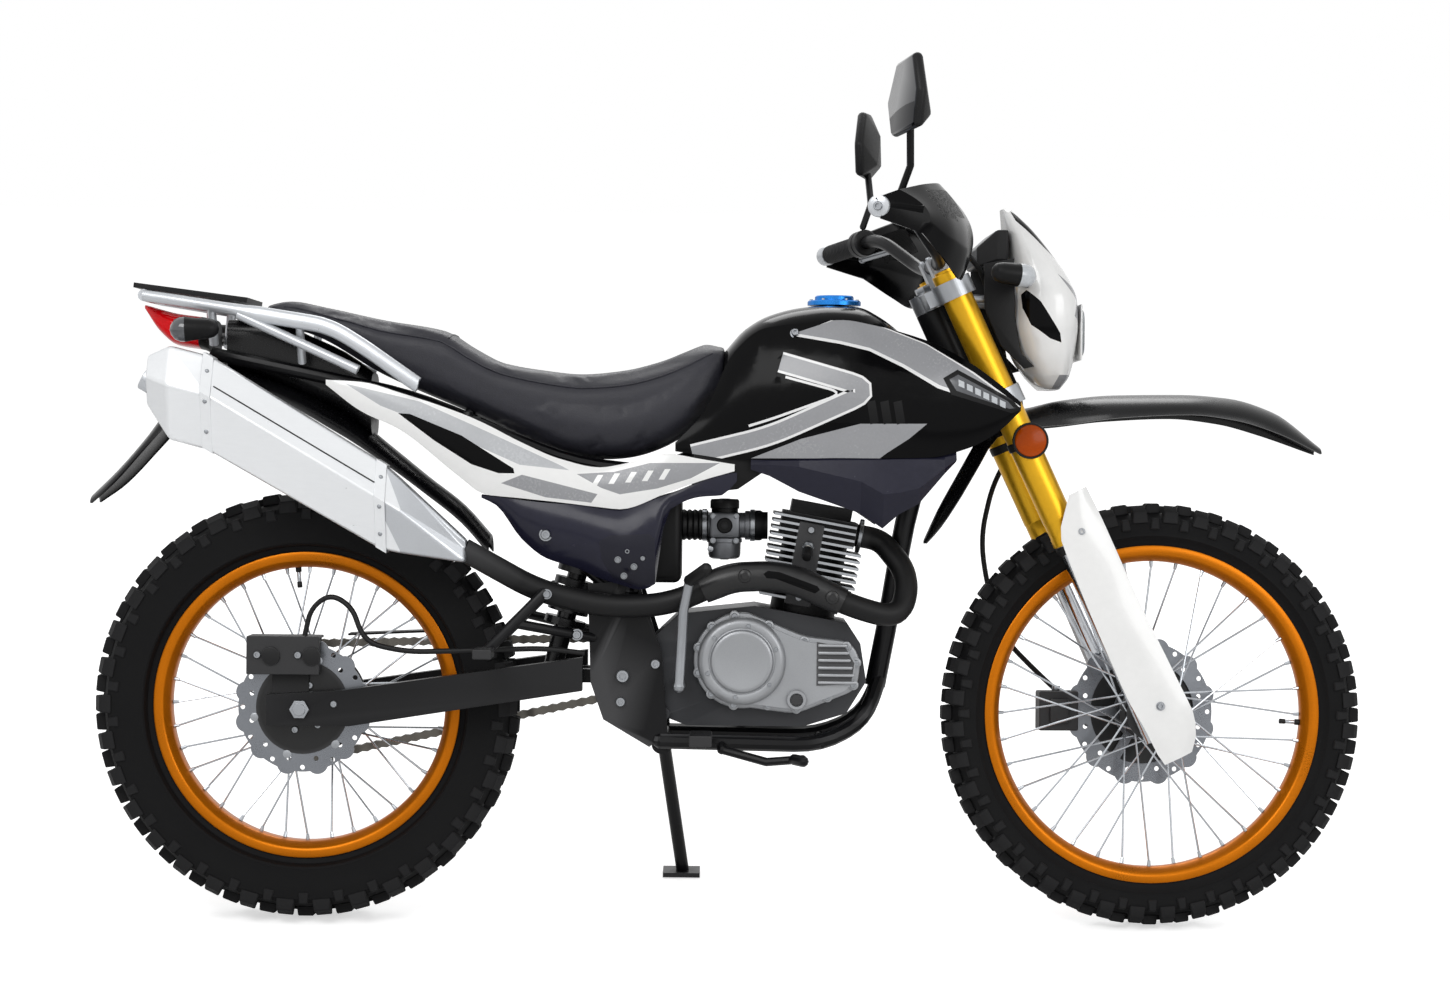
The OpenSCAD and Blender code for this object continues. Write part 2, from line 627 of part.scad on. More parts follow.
head_tube_z = [lower_clamp_z + clamp_t / 2 + side_gap, upper_clamp_z - clamp_t / 2 - side_gap];
module headstock() {
    color("#161618") park() translate(axis_foot) rotate([0, -rake, 0]) difference() {
        translate([0, 0, head_tube_z[0]]) cylinder(r = head_tube_r, h = head_tube_z[1] - head_tube_z[0]);
        translate([0, 0, head_tube_z[0] - 1]) cylinder(r = stem_r + run_gap, h = 200);
    }
}
head_back = axis_foot + 650 * axis_up - 24 * axis_forward;
head_low = axis_foot + 618 * axis_up - 29 * axis_forward;
// Bend in the backbone under the tank
backbone_mid = [225, 0, 846];
// Cross member under the tank's rear end
cross_at = [-110, 0, 742];
cradle_front = [240, 0, 392];
// Cross bar that carries the air box, and the underside of the box
airbox_bar = [-160, 0, 548];
airbox_z = airbox_bar[2] + rail_r;
module pivot_plate() {
    translate([0, rail_y - 4, 0]) rotate([90, 0, 0]) translate([0, 0, -8]) linear_extrude(8)
        polygon([[-232, 560], [-150, 566], [-112, 452], [-100, 318], [-130, 296], [-205, 340], [-226, 400]]);
}
module frame() {
    color("#161618") park() {
        tube(bend([head_back, backbone_mid, [60, 0, 806], cross_at], 60), frame_tube_r + 3, 12);
        tube(bend([head_low, [292, 0, 700], [262, 0, 510], cradle_front], 80), frame_tube_r, 12);
        rod(cross_at + [0, -rail_y + 8, 0], cross_at + [0, rail_y - 8, 0], rail_r);
        rod(airbox_bar - [0, rail_y, 0], airbox_bar + [0, rail_y, 0], rail_r);
        rod([-112, -rail_y, 306], [-112, rail_y, 306], rail_r);
        both_sides() {
            tube(bend([cradle_front + [6, 6, 10], [222, 52, 340], [150, rail_y, 302], [-112, rail_y, 306]], 60),
                rail_r, 10);
            tube(bend([cross_at + [0, 80, 0], [-172, 80, 640], [-186, 90, 540]], 50), rail_r, 10);
            tube(bend([cross_at + [0, 80, 0], [-250, 84, 752], [-540, 84, 866], [-850, 62.7, 928]], 70),
                rail_r - 2, 10);
            rod([-190, 88, 545], [-540, 84, 860], rail_r - 3);
            rod([-222, rail_y, 472], [-345, 150, 497], 8);
            rod([-300, 152, 546], [-392, 152, 452], 9);
            rod(backbone_mid - [8, 0, 0], [217, 153, 800], 7);
            rod(backbone_mid - [8, 0, 0], [207, 146, 735], 7);
            rod([-340, 84, 790], [-340, 123.4, 745], 7);
            rod([-172, 82, 620], [-179, 137.4, 620], 7);
            rod([150, rail_y, 302], [150, rail_y - 20, 302], 7);
            pivot_plate();
        }
        rod([-845, -64, 925], [-845, 64, 925], rail_r - 3);
        rod([-430, -84, 830.6], [-430, 84, 830.6], 10);
        rod([60, 0, 806], [60, 0, 839.8], 8.7, 12);
    }
}
module stand_bracket() {
    arm = stand_pivot - 14 * stand_axis;
    rail_at = [stand_pivot[0], rail_y, 306];
    color("#161618") park() {
        bar(arm, stand_pivot + 16 * stand_axis, 7);
        bar(arm - 14 * stand_axis, arm, 17);
        bar(rail_at + (rail_r + side_gap) * unit(arm - 9 * stand_axis - rail_at), arm - 9 * stand_axis, 9);
    }
}
module side_stand() {
    knee = stand_foot + [0, 0, 0];
    color("#1a1a1c") park() difference() {
        union() {
            bar(stand_pivot - 13 * stand_axis, stand_pivot + 13 * stand_axis, 15);
            bar(stand_pivot + 8 * stand_down, knee, 11);
            translate([stand_foot[0], stand_foot[1], stand_foot[1] * tan(lean)]) rotate([lean, 0, 0])
                translate([-34, -22, 0]) cube([64, 44, 8]);
        }
        bar(stand_pivot - 14.5 * stand_axis, stand_pivot + 20 * stand_axis, 7 + run_gap);
    }
}
brace_at = [-292, 0, 404];
module swingarm() {
    tip = rear_axle_at + [-40, 0, 0];
    color("#18181a") park() difference() {
        union() {
            across(pivot_at[0], pivot_at[2], -plate_in + side_gap, plate_in - side_gap, 15);
            across(brace_at[0], brace_at[2], -arm_y, arm_y, 15);
            both_sides() translate([brace_at[0], 24, brace_at[2] - 8])
                cube([pivot_at[0] - brace_at[0], 28, 22]);
            both_sides() translate([0, arm_y + arm_w / 2, 0]) rotate([90, 0, 0]) linear_extrude(arm_w)
                polygon([
                    [pivot_at[0] - 54, pivot_at[2] - arm_h / 2 - 4],
                    [pivot_at[0] - 54, pivot_at[2] + arm_h / 2 - 4],
                    [rear_axle_at[0] + 70, rear_axle_at[2] + arm_h * 0.58],
                    [tip[0] - 15, tip[2] + arm_h * 0.42],
                    [tip[0] - 15, tip[2] - arm_h / 2], [rear_axle_at[0] + 80, rear_axle_at[2] - arm_h / 2]
                ]);
        }
        across(rear_axle_at[0], rear_axle_at[2], -200, 200, axle_r + run_gap);
    }
}
module rear_axle() {
    inner = arm_y - arm_w / 2;
    color("#a5a8ac") park() translate(rear_axle_at) {
        across(0, 0, -arm_y - arm_w / 2 - 12, arm_y + arm_w / 2 + 12, axle_r);
        across(0, 0, -inner + side_gap, rear_disc_y - side_gap, axle_r + 4);
        across(0, 0, chain_y + 3.5 + side_gap, inner - side_gap, axle_r + 4);
        for (s = [-1, 1]) let (nut_y = s * (arm_y + arm_w / 2 + 5))
            across(0, 0, nut_y - 4, nut_y + 4, 16, $fn = 6);
    }
}
shock_low = brace_at + [0, 0, 15.7];
shock_high = [-214, 0, 728];
module rear_shock() {
    d = unit(shock_high - shock_low);
    color("#b02020") park() {
        bar(shock_low, shock_high, 16);
        for (i = [0 : 8]) bar(shock_low + (70 + 22 * i) * d, shock_low + (82 + 22 * i) * d, 34);
    }
}

// Engine and exhaust

plate_in = rail_y - 4;
case_top = [for (x = [40, 190]) [x, cylinder_at[2] - (x - cylinder_at[0]) * tan(cylinder_tilt)]];
module crankcase() {
    recess_y = chain_y - 12;
    sprocket_t = 7;
    color("#2a2a2c") park() {
        difference() {
            union() {
                translate([0, case_half_w, 0]) rotate([90, 0, 0]) linear_extrude(2 * case_half_w)
                    polygon(concat([[-128, 352], [-128, 470], [-84, 512]], case_top, [[212, 466], [222, 404],
                             [190, 352], [120, 330], [-70, 330]]));
                across(40, 436, case_half_w, case_half_w + 42, 66);
            }
            across(sprocket_at[0], sprocket_at[2], recess_y, case_half_w + 60, front_chain_r + 16);
            translate([sprocket_at[0] - 100, recess_y, sprocket_at[2] - front_chain_r - 16])
                cube([100, 100, 2 * front_chain_r + 32]);
        }
        across(sprocket_at[0], sprocket_at[2], recess_y - 1, chain_y + 14, 13);
        across(sprocket_at[0], sprocket_at[2], chain_y - sprocket_t / 2, chain_y + sprocket_t / 2,
            front_chain_r - 8);
        across(-122, 427, side_gap - plate_in, -case_half_w + 2, 14);
        both_sides() across(-108, 350, case_half_w - 2, plate_in - side_gap, 11);
    }
}
module clutch_cover() {
    y0 = -case_half_w - side_gap;
    color("#b6b8bc") park() {
        translate([0, y0, 0]) rotate([90, 0, 0]) linear_extrude(34) {
            translate([clutch_at[0], clutch_at[2]]) circle(r = 78, $fn = 48);
            polygon([[30, 514], [120, 478], [196, 470], [212, 440], [206, 392], [108, 352], [30, 362]]);
        }
        translate([clutch_at[0], y0 - 33, clutch_at[2]]) rotate([90, 0, 0]) cylinder(r1 = 71, r2 = 63, h = 11);
        translate([clutch_at[0], y0 - 43, clutch_at[2]]) rotate([90, 0, 0]) cylinder(r1 = 50, r2 = 47, h = 9);
        for (i = [0 : 5]) translate([142, y0 - 42, 402 + 12 * i]) cube([62 - 3 * i, 9, 5]);
        across(108, 368, y0 - 40, y0 - 33, 15);
    }
}
fin_pitch = 11;
module finned_barrel() {
    color("#303033") park() translate(cylinder_at) rotate([0, cylinder_tilt, 0]) {
        translate([0, 0, side_gap]) cylinder(r = 54, h = 124);
        for (i = [0 : 12]) translate([-76, -70, 20 + fin_pitch * i]) cube([i < 9 ? 152 : 137, 140, 4.5]);
        translate([-62, -58, 122]) cube([124, 116, 40]);
        translate([-50, -46, 160]) cube([100, 92, 22]);
    }
}
module carburettor() {
    color("#4a4b4e") park() {
        translate([-82, 0, 655]) rotate([0, 90, 0]) cylinder(r = 23, h = 142);
        translate([-36, -27, 634]) cube([50, 54, 42]);
        translate([-11, 0, 598]) cylinder(r = 27, h = 37);
        translate([-11, 0, 675]) cylinder(r = 24, h = 24);
        across(-11, 655, -36, -20, 13);
        translate([-178, -62, airbox_z]) cube([97, 124, 140]);
    }
}
header_route = [
    [204.4, -20, 641], [246, -20, 633.6], [292, -66, 576], [274, -112, 508], [196, -126, 528], [90, -128, 578],
    [0, -128, 574], [-100, -122, 528], [-200, -122, 524], [-310, -124, 548], [-430, -146, 615]
];
// Heat shield round the straight run beside the cylinder
shield_route = [[180, -126.4, 535.5], [90, -129, 578], [0, -129, 574], [-45, -126, 553]];
module exhaust_pipe() {
    color("#19191b") park() {
        tube(bend(header_route, 44, 3), header_r, 12);
        tube(bend(shield_route, 44, 3), header_r + 5, 12);
    }
}
module muffler() {
    // rows of [x, z of the middle, height, inner y, outer y]
    rows = [[-938, 882, 78, -98, -176], [-900, 862, 150, -94, -200], [-838, 846, 150, -92, -206],
            [-560, 684, 138, -92, -204], [-530, 668, 118, -96, -200], [-424.3, 612, 36, -128, -164]];
    color("#d5d7da") park() skin([for (r = rows) let (h = r[2] / 2, m = (r[3] + r[4]) / 2) [
        [r[0], r[3], r[1]], [r[0], m + 18, r[1] + h], [r[0], m - 22, r[1] + h],
        [r[0], r[4], r[1] + h * 0.16], [r[0], m - 26, r[1] - h], [r[0], m + 18, r[1] - h]
    ]]);
}

// Tank, shrouds, seat and panels

module fuel_tank() {
    // rows of [x, z_lo, z_hi, half_w]
    rows = [[-14, 866, 940, 92], [20, 852, 978, 112], [60, 848, 1001, 120], [110, 852, 1014, 122],
            [160, 868, 1019, 120], [205, 882, 1016, 112], [240, 896, 1000, 96], [275, 908, 974, 72],
            [292, 918, 958, 50]];
    color("#121214") park() {
        skin([for (r = rows) soft_ring(r[0], r[1], r[2], r[3], 2.8, 24)]);
    }
}
module fuel_cap() {
    color("#2f8fe0") park() translate([166, 0, 1018.9]) {
        cylinder(r = 44, h = 8);
        translate([0, 0, 8]) cylinder(r = 32, h = 8);
    }
}
module tank_shrouds() {
    // rows of [x, z_lo, z_hi, y_lo, y_mid, y_hi]
    rows = [[-92, 776, 790, 124, 125, 124], [-48, 770, 838, 128, 130, 122], [2, 764, 938, 132, 140, 112],
            [50, 764, 976, 140, 152, 118], [106, 766, 984, 148, 162, 126], [177, 768, 990, 156, 170, 128],
            [217, 768, 984, 162, 174, 128], [313, 770, 957, 176, 184, 146], [377, 786, 923, 186, 192, 170],
            [425, 814, 888, 192, 196, 186], [458, 846, 860, 194, 196, 193]];
    color("#101012") park() both_sides() panel(rows);
}
module lower_shrouds() {
    rows = [[30, 748, 761, 138, 139, 139], [60, 738, 762, 138, 142, 142], [108, 713, 763, 134, 146, 148],
            [207, 679, 765, 132, 158, 160], [243, 655, 766, 132, 166, 164], [268, 678, 767, 146, 174, 168],
            [300, 696, 767, 156, 178, 174], [339, 744, 767, 174, 180, 179], [357, 764, 768.5, 181, 182, 182]];
    color("#34344a") park() both_sides() panel(rows);
}
module upper_side_panels() {
    rows = [[-657, 878, 886, 118, 118, 118], [-600, 836, 883, 120, 124, 120], [-536, 806, 866, 122, 128, 122],
            [-438, 730, 834, 122, 132, 124], [-400, 704, 818, 124, 134, 124], [-340, 698, 788, 128, 136, 126],
            [-277, 692, 762, 132, 138, 128], [-213, 685, 749, 136, 140, 130], [-180, 682, 754, 138, 142, 132],
            [-104, 709, 772, 138, 140, 132], [-50, 729, 764, 137, 138, 133], [4, 745, 756, 135, 135, 134]];
    color("#f2f2f2") park() both_sides() panel(rows);
}
module lower_side_panels() {
    rows = [[-404, 698, 702, 120, 121, 122], [-380, 686, 700, 118, 122, 124], [-339, 632, 695, 114, 128, 126],
            [-299, 601, 691, 112, 134, 130], [-250, 586, 688, 112, 140, 132], [-210, 569, 683, 116, 146, 134],
            [-179, 560, 680, 120, 150, 136], [-146, 552, 692, 124, 152, 136], [-122, 562, 700, 128, 150, 136],
            [-110, 650, 704, 132, 144, 136], [-99, 682, 707, 134, 138, 136], [-51, 703, 727, 134, 136, 135],
            [-16, 706, 739, 134, 135, 134], [8, 729, 743, 133, 133, 133]];
    color("#34344a") park() both_sides() panel(rows);
}
module seat() {
    // rows of [x, z_lo, z_hi, half_w]
    rows = [[-768, 1001, 1012, 66], [-732, 982, 1015, 90], [-668, 958, 1004, 102], [-571, 902, 984, 112],
            [-474, 860, 968, 115], [-430, 842, 942, 116], [-376, 818, 916, 117], [-312, 789, 905, 118],
            [-247, 768, 899, 119], [-182, 764, 905, 117], [-118, 782, 921, 112], [-70, 812, 941, 104],
            [-34, 852, 956, 92], [-16, 868, 958, 84]];
    color("#242426") park() skin([for (r = rows) soft_ring(r[0], r[1], r[2], r[3], 4, 24)]);
}

// Tail, rack and lamps

module rear_mudguard() {
    // rows of [x, z_edge, z_crown, half_w]
    rows = [[-1052, 682, 696, 40], [-1010, 716, 736, 66], [-955, 776, 800, 74], [-905, 828, 872, 78],
            [-845, 866, 915.2, 82], [-760, 858, 890, 84], [-640, 800, 838, 80], [-560, 748, 778, 72],
            [-500, 704, 730, 66], [-440, 656, 684, 60], [-396, 606, 636, 56]];
    // tray under the seat's rear end, rows of [x, z_lo, z_hi, half_w]
    tray = [[-828, 905, 985, 49], [-768, 888, 986, 51], [-700, 860, 961, 55], [-640, 834, 934, 58],
            [-590, 797, 900, 60]];
    color("#141416") park() {
        arched(rows, 5);
        skin([for (r = tray) soft_ring(r[0], r[1], r[2], r[3], 4, 16)]);
    }
}
module tail_light() {
    // rows of [x, z_lo, z_hi, half_w]
    rows = [[-966, 1000, 1008, 30], [-938, 962, 1000, 58], [-912, 942, 994, 68], [-866, 934, 988, 72],
            [-854.4, 928, 985, 70]];
    color("#c01018") park() skin([for (r = rows) soft_ring(r[0], r[1], r[2], r[3], 3.4, 16)]);
}
module rear_signals() {
    color("#202024") park() both_sides() {
        bar([-862, 72.3, 958], [-862, 126, 962], 7);
        hull() {
            translate([-884, 144, 964]) sphere(21, $fn = 24);
            translate([-842, 140, 966]) sphere(16, $fn = 24);
        }
    }
}
rail_route = [[-958, 84, 1021], [-806, 116, 998], [-652, 126, 974], [-600, 131, 944], [-506, 138, 880]];
module grab_rail() {
    color("#c4c6ca") park() {
        rod([-958, -84, 1021], [-958, 84, 1021], 10);
        both_sides() {
            rod(rail_route[0], rail_route[1], 10);
            for (i = [1 : len(rail_route) - 2]) hull() for (z = [-6, 3]) {
                translate(rail_route[i] + [0, 0, z]) sphere(8.5, $fn = 10);
                translate(rail_route[i + 1] + [0, 0, z]) sphere(8.5, $fn = 10);
            }
            rod([-800, 116, 990], [-604, 130, 902], 8);
            rod([-700, 120, 976], [-700, 83, 914], 7);
            rod([-845, 73, 943], [-845, 108, 1003], 8);
        }
    }
}
rack_hole_pcd = 120;
module rack_plate() {
    color("#1a1a1c") park() translate([-880, 0, 1021.9]) rotate([0, 7, 0]) difference() {
        translate([-96, -84, 0]) cube([186, 168, 8]);
        for (y = [-66, -22, 22, 66]) translate([-60, y - 12, -1]) cube([120, 24, 10]);
        for (a = [45 : 90 : 315]) rotate(a) translate([rack_hole_pcd / 2, 0, -1]) cylinder(r = 3.3, h = 10);
    }
}

// Rear brake, chain, pegs and controls

module rear_caliper() {
    color("#1c1c20") park() difference() {
        union() {
            translate(rear_move + [-784, -106, 408]) cube([118, 62, 62]);
            translate(rear_move + [-744, -90.7 + side_gap, 376]) cube([60, 9, 40]);
        }
        across(rear_axle_at[0], rear_axle_at[2], rear_disc_y - 3, rear_disc_y + disc_t + 3, rear_disc_r + 4);
        across(rear_axle_at[0], rear_axle_at[2], -70, -40, rear_disc_r + 4);
    }
}
rear_hose_route = [
    rear_move + [-690, -100, 471.5], rear_move + [-680, -104, 516], rear_move + [-648, -110, 540],
    rear_move + [-612, -118, 520], rear_move + [-590, -126, 462], [-520, -126, 448],
    [-400, -124, 452], [-300, -122, 456], [-236, -112, 448]
];
module rear_brake_hose() {
    color("#101012") park() tube(bend(rear_hose_route, 30, 2), 4.5, 8);
}
// Chain loop: two arcs round the sprockets and two straight runs
chain_span = [sprocket_at[0] - rear_axle_at[0], sprocket_at[2] - rear_axle_at[2]];
chain_dist = norm(chain_span);
chain_slope = atan2(chain_span[1], chain_span[0]);
chain_wrap = acos((rear_chain_r - front_chain_r) / chain_dist);
chain_run = sqrt(pow(chain_dist, 2) - pow(rear_chain_r - front_chain_r, 2));
rear_arc = (360 - 2 * chain_wrap) * PI / 180 * rear_chain_r;
front_arc = 2 * chain_wrap * PI / 180 * front_chain_r;
chain_length = rear_arc + front_arc + 2 * chain_run;
// Place along the loop as [x, z, outward angle]
function chain_place(s) =
    s < rear_arc ? let (a = chain_slope + chain_wrap + s / rear_chain_r * 180 / PI)
        [rear_axle_at[0] + rear_chain_r * cos(a), rear_axle_at[2] + rear_chain_r * sin(a), a] :
    s < rear_arc + chain_run ? let (a = chain_slope - chain_wrap, d = s - rear_arc)
        [rear_axle_at[0] + rear_chain_r * cos(a) - d * sin(a),
         rear_axle_at[2] + rear_chain_r * sin(a) + d * cos(a), a] :
    s < rear_arc + chain_run + front_arc ?
        let (a = chain_slope - chain_wrap + (s - rear_arc - chain_run) / front_chain_r * 180 / PI)
        [sprocket_at[0] + front_chain_r * cos(a), sprocket_at[2] + front_chain_r * sin(a), a] :
        let (a = chain_slope + chain_wrap, d = s - rear_arc - chain_run - front_arc)
        [sprocket_at[0] + front_chain_r * cos(a) - d * sin(a),
         sprocket_at[2] + front_chain_r * sin(a) + d * cos(a), a];
module chain() {
    color("#8a8680") park() loop_skin([
        for (i = [0 : 2 * chain_links - 1])
            let (p = chain_place(chain_length * i / (2 * chain_links)), h = i % 2 == 0 ? 7.5 : 5.2)
            let (w = floor(i / 2) % 2 == 0 ? 7.5 : 6, c = cos(p[2]), s = sin(p[2])) [
                [p[0] - h * c, chain_y - w, p[1] - h * s], [p[0] + h * c, chain_y - w, p[1] + h * s],
                [p[0] + h * c, chain_y + w, p[1] + h * s], [p[0] - h * c, chain_y + w, p[1] - h * s]
            ]
    ]);
}
module chain_guard() {
    color("#161618") park() {
        translate([0, arm_y + 4, 0]) rotate([90, 0, 0]) linear_extrude(arm_y + 4 - 66)
            polygon([[-640, 462], [-640, 466], [-330, 481], [-300, 478], [-300, 474], [-330, 477]]);
        translate([-480, arm_y - 6, 409.6]) cube([24, 10, 62]);
    }
}
peg_at = [-46, 0, 318];
module footpegs() {
    color("#2a2a2c") park() both_sides() {
        translate([peg_at[0] - 18, rail_y + 30, peg_at[2] - 10]) cube([36, 96, 18]);
        translate([peg_at[0] - 9, rail_y + rail_r + side_gap, peg_at[2] - 20]) cube([18, 36, 20]);
        translate([-408, 161.2, 444]) cube([30, 70, 16]);
    }
}
module foot_controls() {
    color("#3a3a3c") park() {
        rod([-12, -rail_y - 36, 296], [60, -rail_y - 50, 278], 7);
        rod([60, -rail_y - 50, 278], [118, -rail_y - 60, 284], 7);
        rod([104, -rail_y - 66, 284], [118, -rail_y - 96, 284], 9);
        rod([-12, -rail_y - rail_r - 6.95, 300], [-12, -rail_y - 36, 296], 8);
        rod([90, case_half_w + 46, 372], [20, case_half_w + 50, 350], 7);
        rod([90, case_half_w + 46, 372], [140, case_half_w + 60, 366], 7);
        rod([140, case_half_w + 60, 366], [140, case_half_w + 92, 366], 9);
        rod([20, case_half_w + 50, 350], [20, case_half_w + 8.4, 350], 8);
        rod([-82, -case_half_w - 10.4, 398], [-82, -case_half_w - 66, 398], 10);
        rod([-82, -case_half_w - 66, 398], [-76, -case_half_w - 76, 520], 8);
        rod([-76, -case_half_w - 76, 520], [-66, -case_half_w - 92, 570], 8);
        rod([-66, -case_half_w - 92, 570], [-40, -case_half_w - 132, 590], 10);
    }
}

headstock();
frame();
stand_bracket();
swingarm();
rear_shock();
crankcase();
clutch_cover();
finned_barrel();
carburettor();
exhaust_pipe();
muffler();
fuel_tank();
fuel_cap();
tank_shrouds();
lower_shrouds();
upper_side_panels();
lower_side_panels();
seat();
rear_mudguard();
tail_light();
rear_signals();
grab_rail();
rack_plate();
rear_axle();
rear_caliper();
rear_brake_hose();
chain();
chain_guard();
footpegs();
foot_controls();
fork_clamps();
fork_tubes();
fork_sliders();
fork_guards();
front_axle();
handlebar();
bar_controls();
handguards();
mirrors();
cowl();
headlight();
instruments();
front_signals();
front_mudguard();
front_caliper();
front_brake_hose();
front_tyre();
front_rim();
front_spokes();
front_hub();
front_disc();
rear_tyre();
rear_rim();
rear_spokes();
rear_hub();
rear_disc();
side_stand();
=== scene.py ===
"""Looks of a trail motorcycle parked on its side stand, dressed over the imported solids."""
import json
import logging
from dataclasses import dataclass
from enum import Enum
from math import atan, copysign, cos, pi, radians, sin, sqrt
from typing import Callable, Iterable, Sequence

import bmesh
import bpy
from mathutils import Matrix, Vector
from mathutils.bvhtree import BVHTree

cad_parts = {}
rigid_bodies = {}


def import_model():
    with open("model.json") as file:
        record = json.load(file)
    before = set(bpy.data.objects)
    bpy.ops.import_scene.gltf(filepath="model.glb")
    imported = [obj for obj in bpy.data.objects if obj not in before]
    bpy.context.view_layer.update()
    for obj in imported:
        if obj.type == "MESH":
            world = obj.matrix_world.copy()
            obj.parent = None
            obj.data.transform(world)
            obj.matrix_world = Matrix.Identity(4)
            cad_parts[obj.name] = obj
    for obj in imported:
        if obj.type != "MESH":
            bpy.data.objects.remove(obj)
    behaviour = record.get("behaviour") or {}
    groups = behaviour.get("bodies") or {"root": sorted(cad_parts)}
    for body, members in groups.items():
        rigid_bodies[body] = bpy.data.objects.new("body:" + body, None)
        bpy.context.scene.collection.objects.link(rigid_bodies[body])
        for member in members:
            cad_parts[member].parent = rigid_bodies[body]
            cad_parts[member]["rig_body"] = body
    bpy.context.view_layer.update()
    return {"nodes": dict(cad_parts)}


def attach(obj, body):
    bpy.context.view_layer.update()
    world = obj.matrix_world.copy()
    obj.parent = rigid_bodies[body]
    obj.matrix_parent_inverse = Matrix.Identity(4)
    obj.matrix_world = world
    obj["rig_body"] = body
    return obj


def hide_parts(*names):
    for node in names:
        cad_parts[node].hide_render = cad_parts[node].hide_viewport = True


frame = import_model()
LOG = logging.getLogger("motorcycle")
Point = Sequence[float]
MM = 0.001


# Where the bike stands


@dataclass(frozen=True)
class Stance:
    """The parked bike's own upright frame, in millimetres and degrees."""

    lean: float = 9.0
    steer: float = 4.0
    rake: float = 25.0
    shift: tuple[float, float, float] = (5.0, -175.0, 0.0)
    front_axle: tuple[float, float, float] = (695.0, 0.0, 350.26)
    rear_axle: tuple[float, float, float] = (-695.0, 0.0, 353.18)
    axis_behind_axle: float = 53.0

    def park(self) -> Matrix:
        """Upright millimetres to the leaning row frame in metres."""
        turn = Matrix.Rotation(-radians(self.lean), 4, "X")
        return Matrix.Scale(MM, 4) @ Matrix.Translation(self.shift) @ turn

    def forward(self) -> Vector:
        """Direction forward, square to the steering axis."""
        return Vector((cos(radians(self.rake)), 0, sin(radians(self.rake))))

    def up(self) -> Vector:
        """Direction up the steering axis."""
        return Vector((-sin(radians(self.rake)), 0, cos(radians(self.rake))))

    def foot(self) -> Vector:
        """Point of the steering axis beside the front axle."""
        return Vector(self.front_axle) - self.axis_behind_axle * self.forward()

    def on_axis(self) -> Matrix:
        """Place fork millimetres (forward, left, up the axis) in the row frame.

        Returns:
            The transform.
        """
        rake = Matrix.Rotation(-radians(self.rake), 4, "Y")
        turn = Matrix.Rotation(radians(self.steer), 4, "Z")
        return self.park() @ Matrix.Translation(self.foot()) @ rake @ turn

    def steered(self) -> Matrix:
        """Upright millimetres of a piece on the fork to the row frame."""
        back = Matrix.Rotation(radians(self.rake), 4, "Y")
        return self.on_axis() @ back @ Matrix.Translation(-self.foot())


STANCE = Stance()
PARK = STANCE.park()
STEERED = STANCE.steered()
ON_AXIS = STANCE.on_axis()
MIRROR = Matrix.Scale(-1, 4, (0, 1, 0))
SIDES = (Matrix.Identity(4), MIRROR)


# Finishes


def linear(colour: str, level: float = 1.0) -> tuple[float, float, float, float]:
    """Turn an sRGB hex colour to linear light.

    Args:
        colour: six hex digits, with or without a leading hash.
        level: factor on the linear values.

    Returns:
        Red, green, blue and alpha.
    """
    digits = colour.lstrip("#")
    parts = [int(digits[i:i + 2], 16) / 255 for i in (0, 2, 4)]
    light = [c / 12.92 if c <= 0.04045 else ((c + 0.055) / 1.055) ** 2.4 for c in parts]
    return (*[min(1.0, c * level) for c in light], 1.0)


def add(tree: bpy.types.NodeTree, kind: str, inputs: dict | None = None, **settings: object) -> bpy.types.Node:
    """Add a node with its settings, its values and the links into it.

    Args:
        tree: node tree that takes the node.
        kind: Blender's name of the shader node, without its prefix.
        inputs: socket name or number to a value, or to a socket to link from.
        settings: attributes of the node.

    Returns:
        The new node.
    """
    made = tree.nodes.new("ShaderNode" + kind)
    for key, value in settings.items():
        setattr(made, key, value)
    for key, value in (inputs or {}).items():
        if isinstance(value, bpy.types.NodeSocket):
            tree.links.new(value, made.inputs[key])
        else:
            made.inputs[key].default_value = value
    return made


class Grain(Enum):
    """How a surface was made, which gives its pattern."""

    MOULDED = "moulded"
    BRUSHED = "brushed"
    CAST = "cast"
    COVER = "cover"


# What all finishes share: the size of the broad mottle, the part of the pattern that colour and gloss range
# over, the edges that are rubbed, and the clear coat and brushing.
BROAD_MM = 90.0
PATTERN_RANGE = (0.3, 0.7)
RUBBED_EDGE = (0.53, 0.66)
RUBBED_COLOUR = "#8a8a8c"
CELL_EDGE = 0.25
RELIEF_STRENGTH = 0.6
COAT_ROUGHNESS = 0.06
BRUSH_STRETCH = (0.06, 1.0, 1.0)
BRUSH_SLOPE = -30.0
BRUSH_ANISOTROPY = 0.4


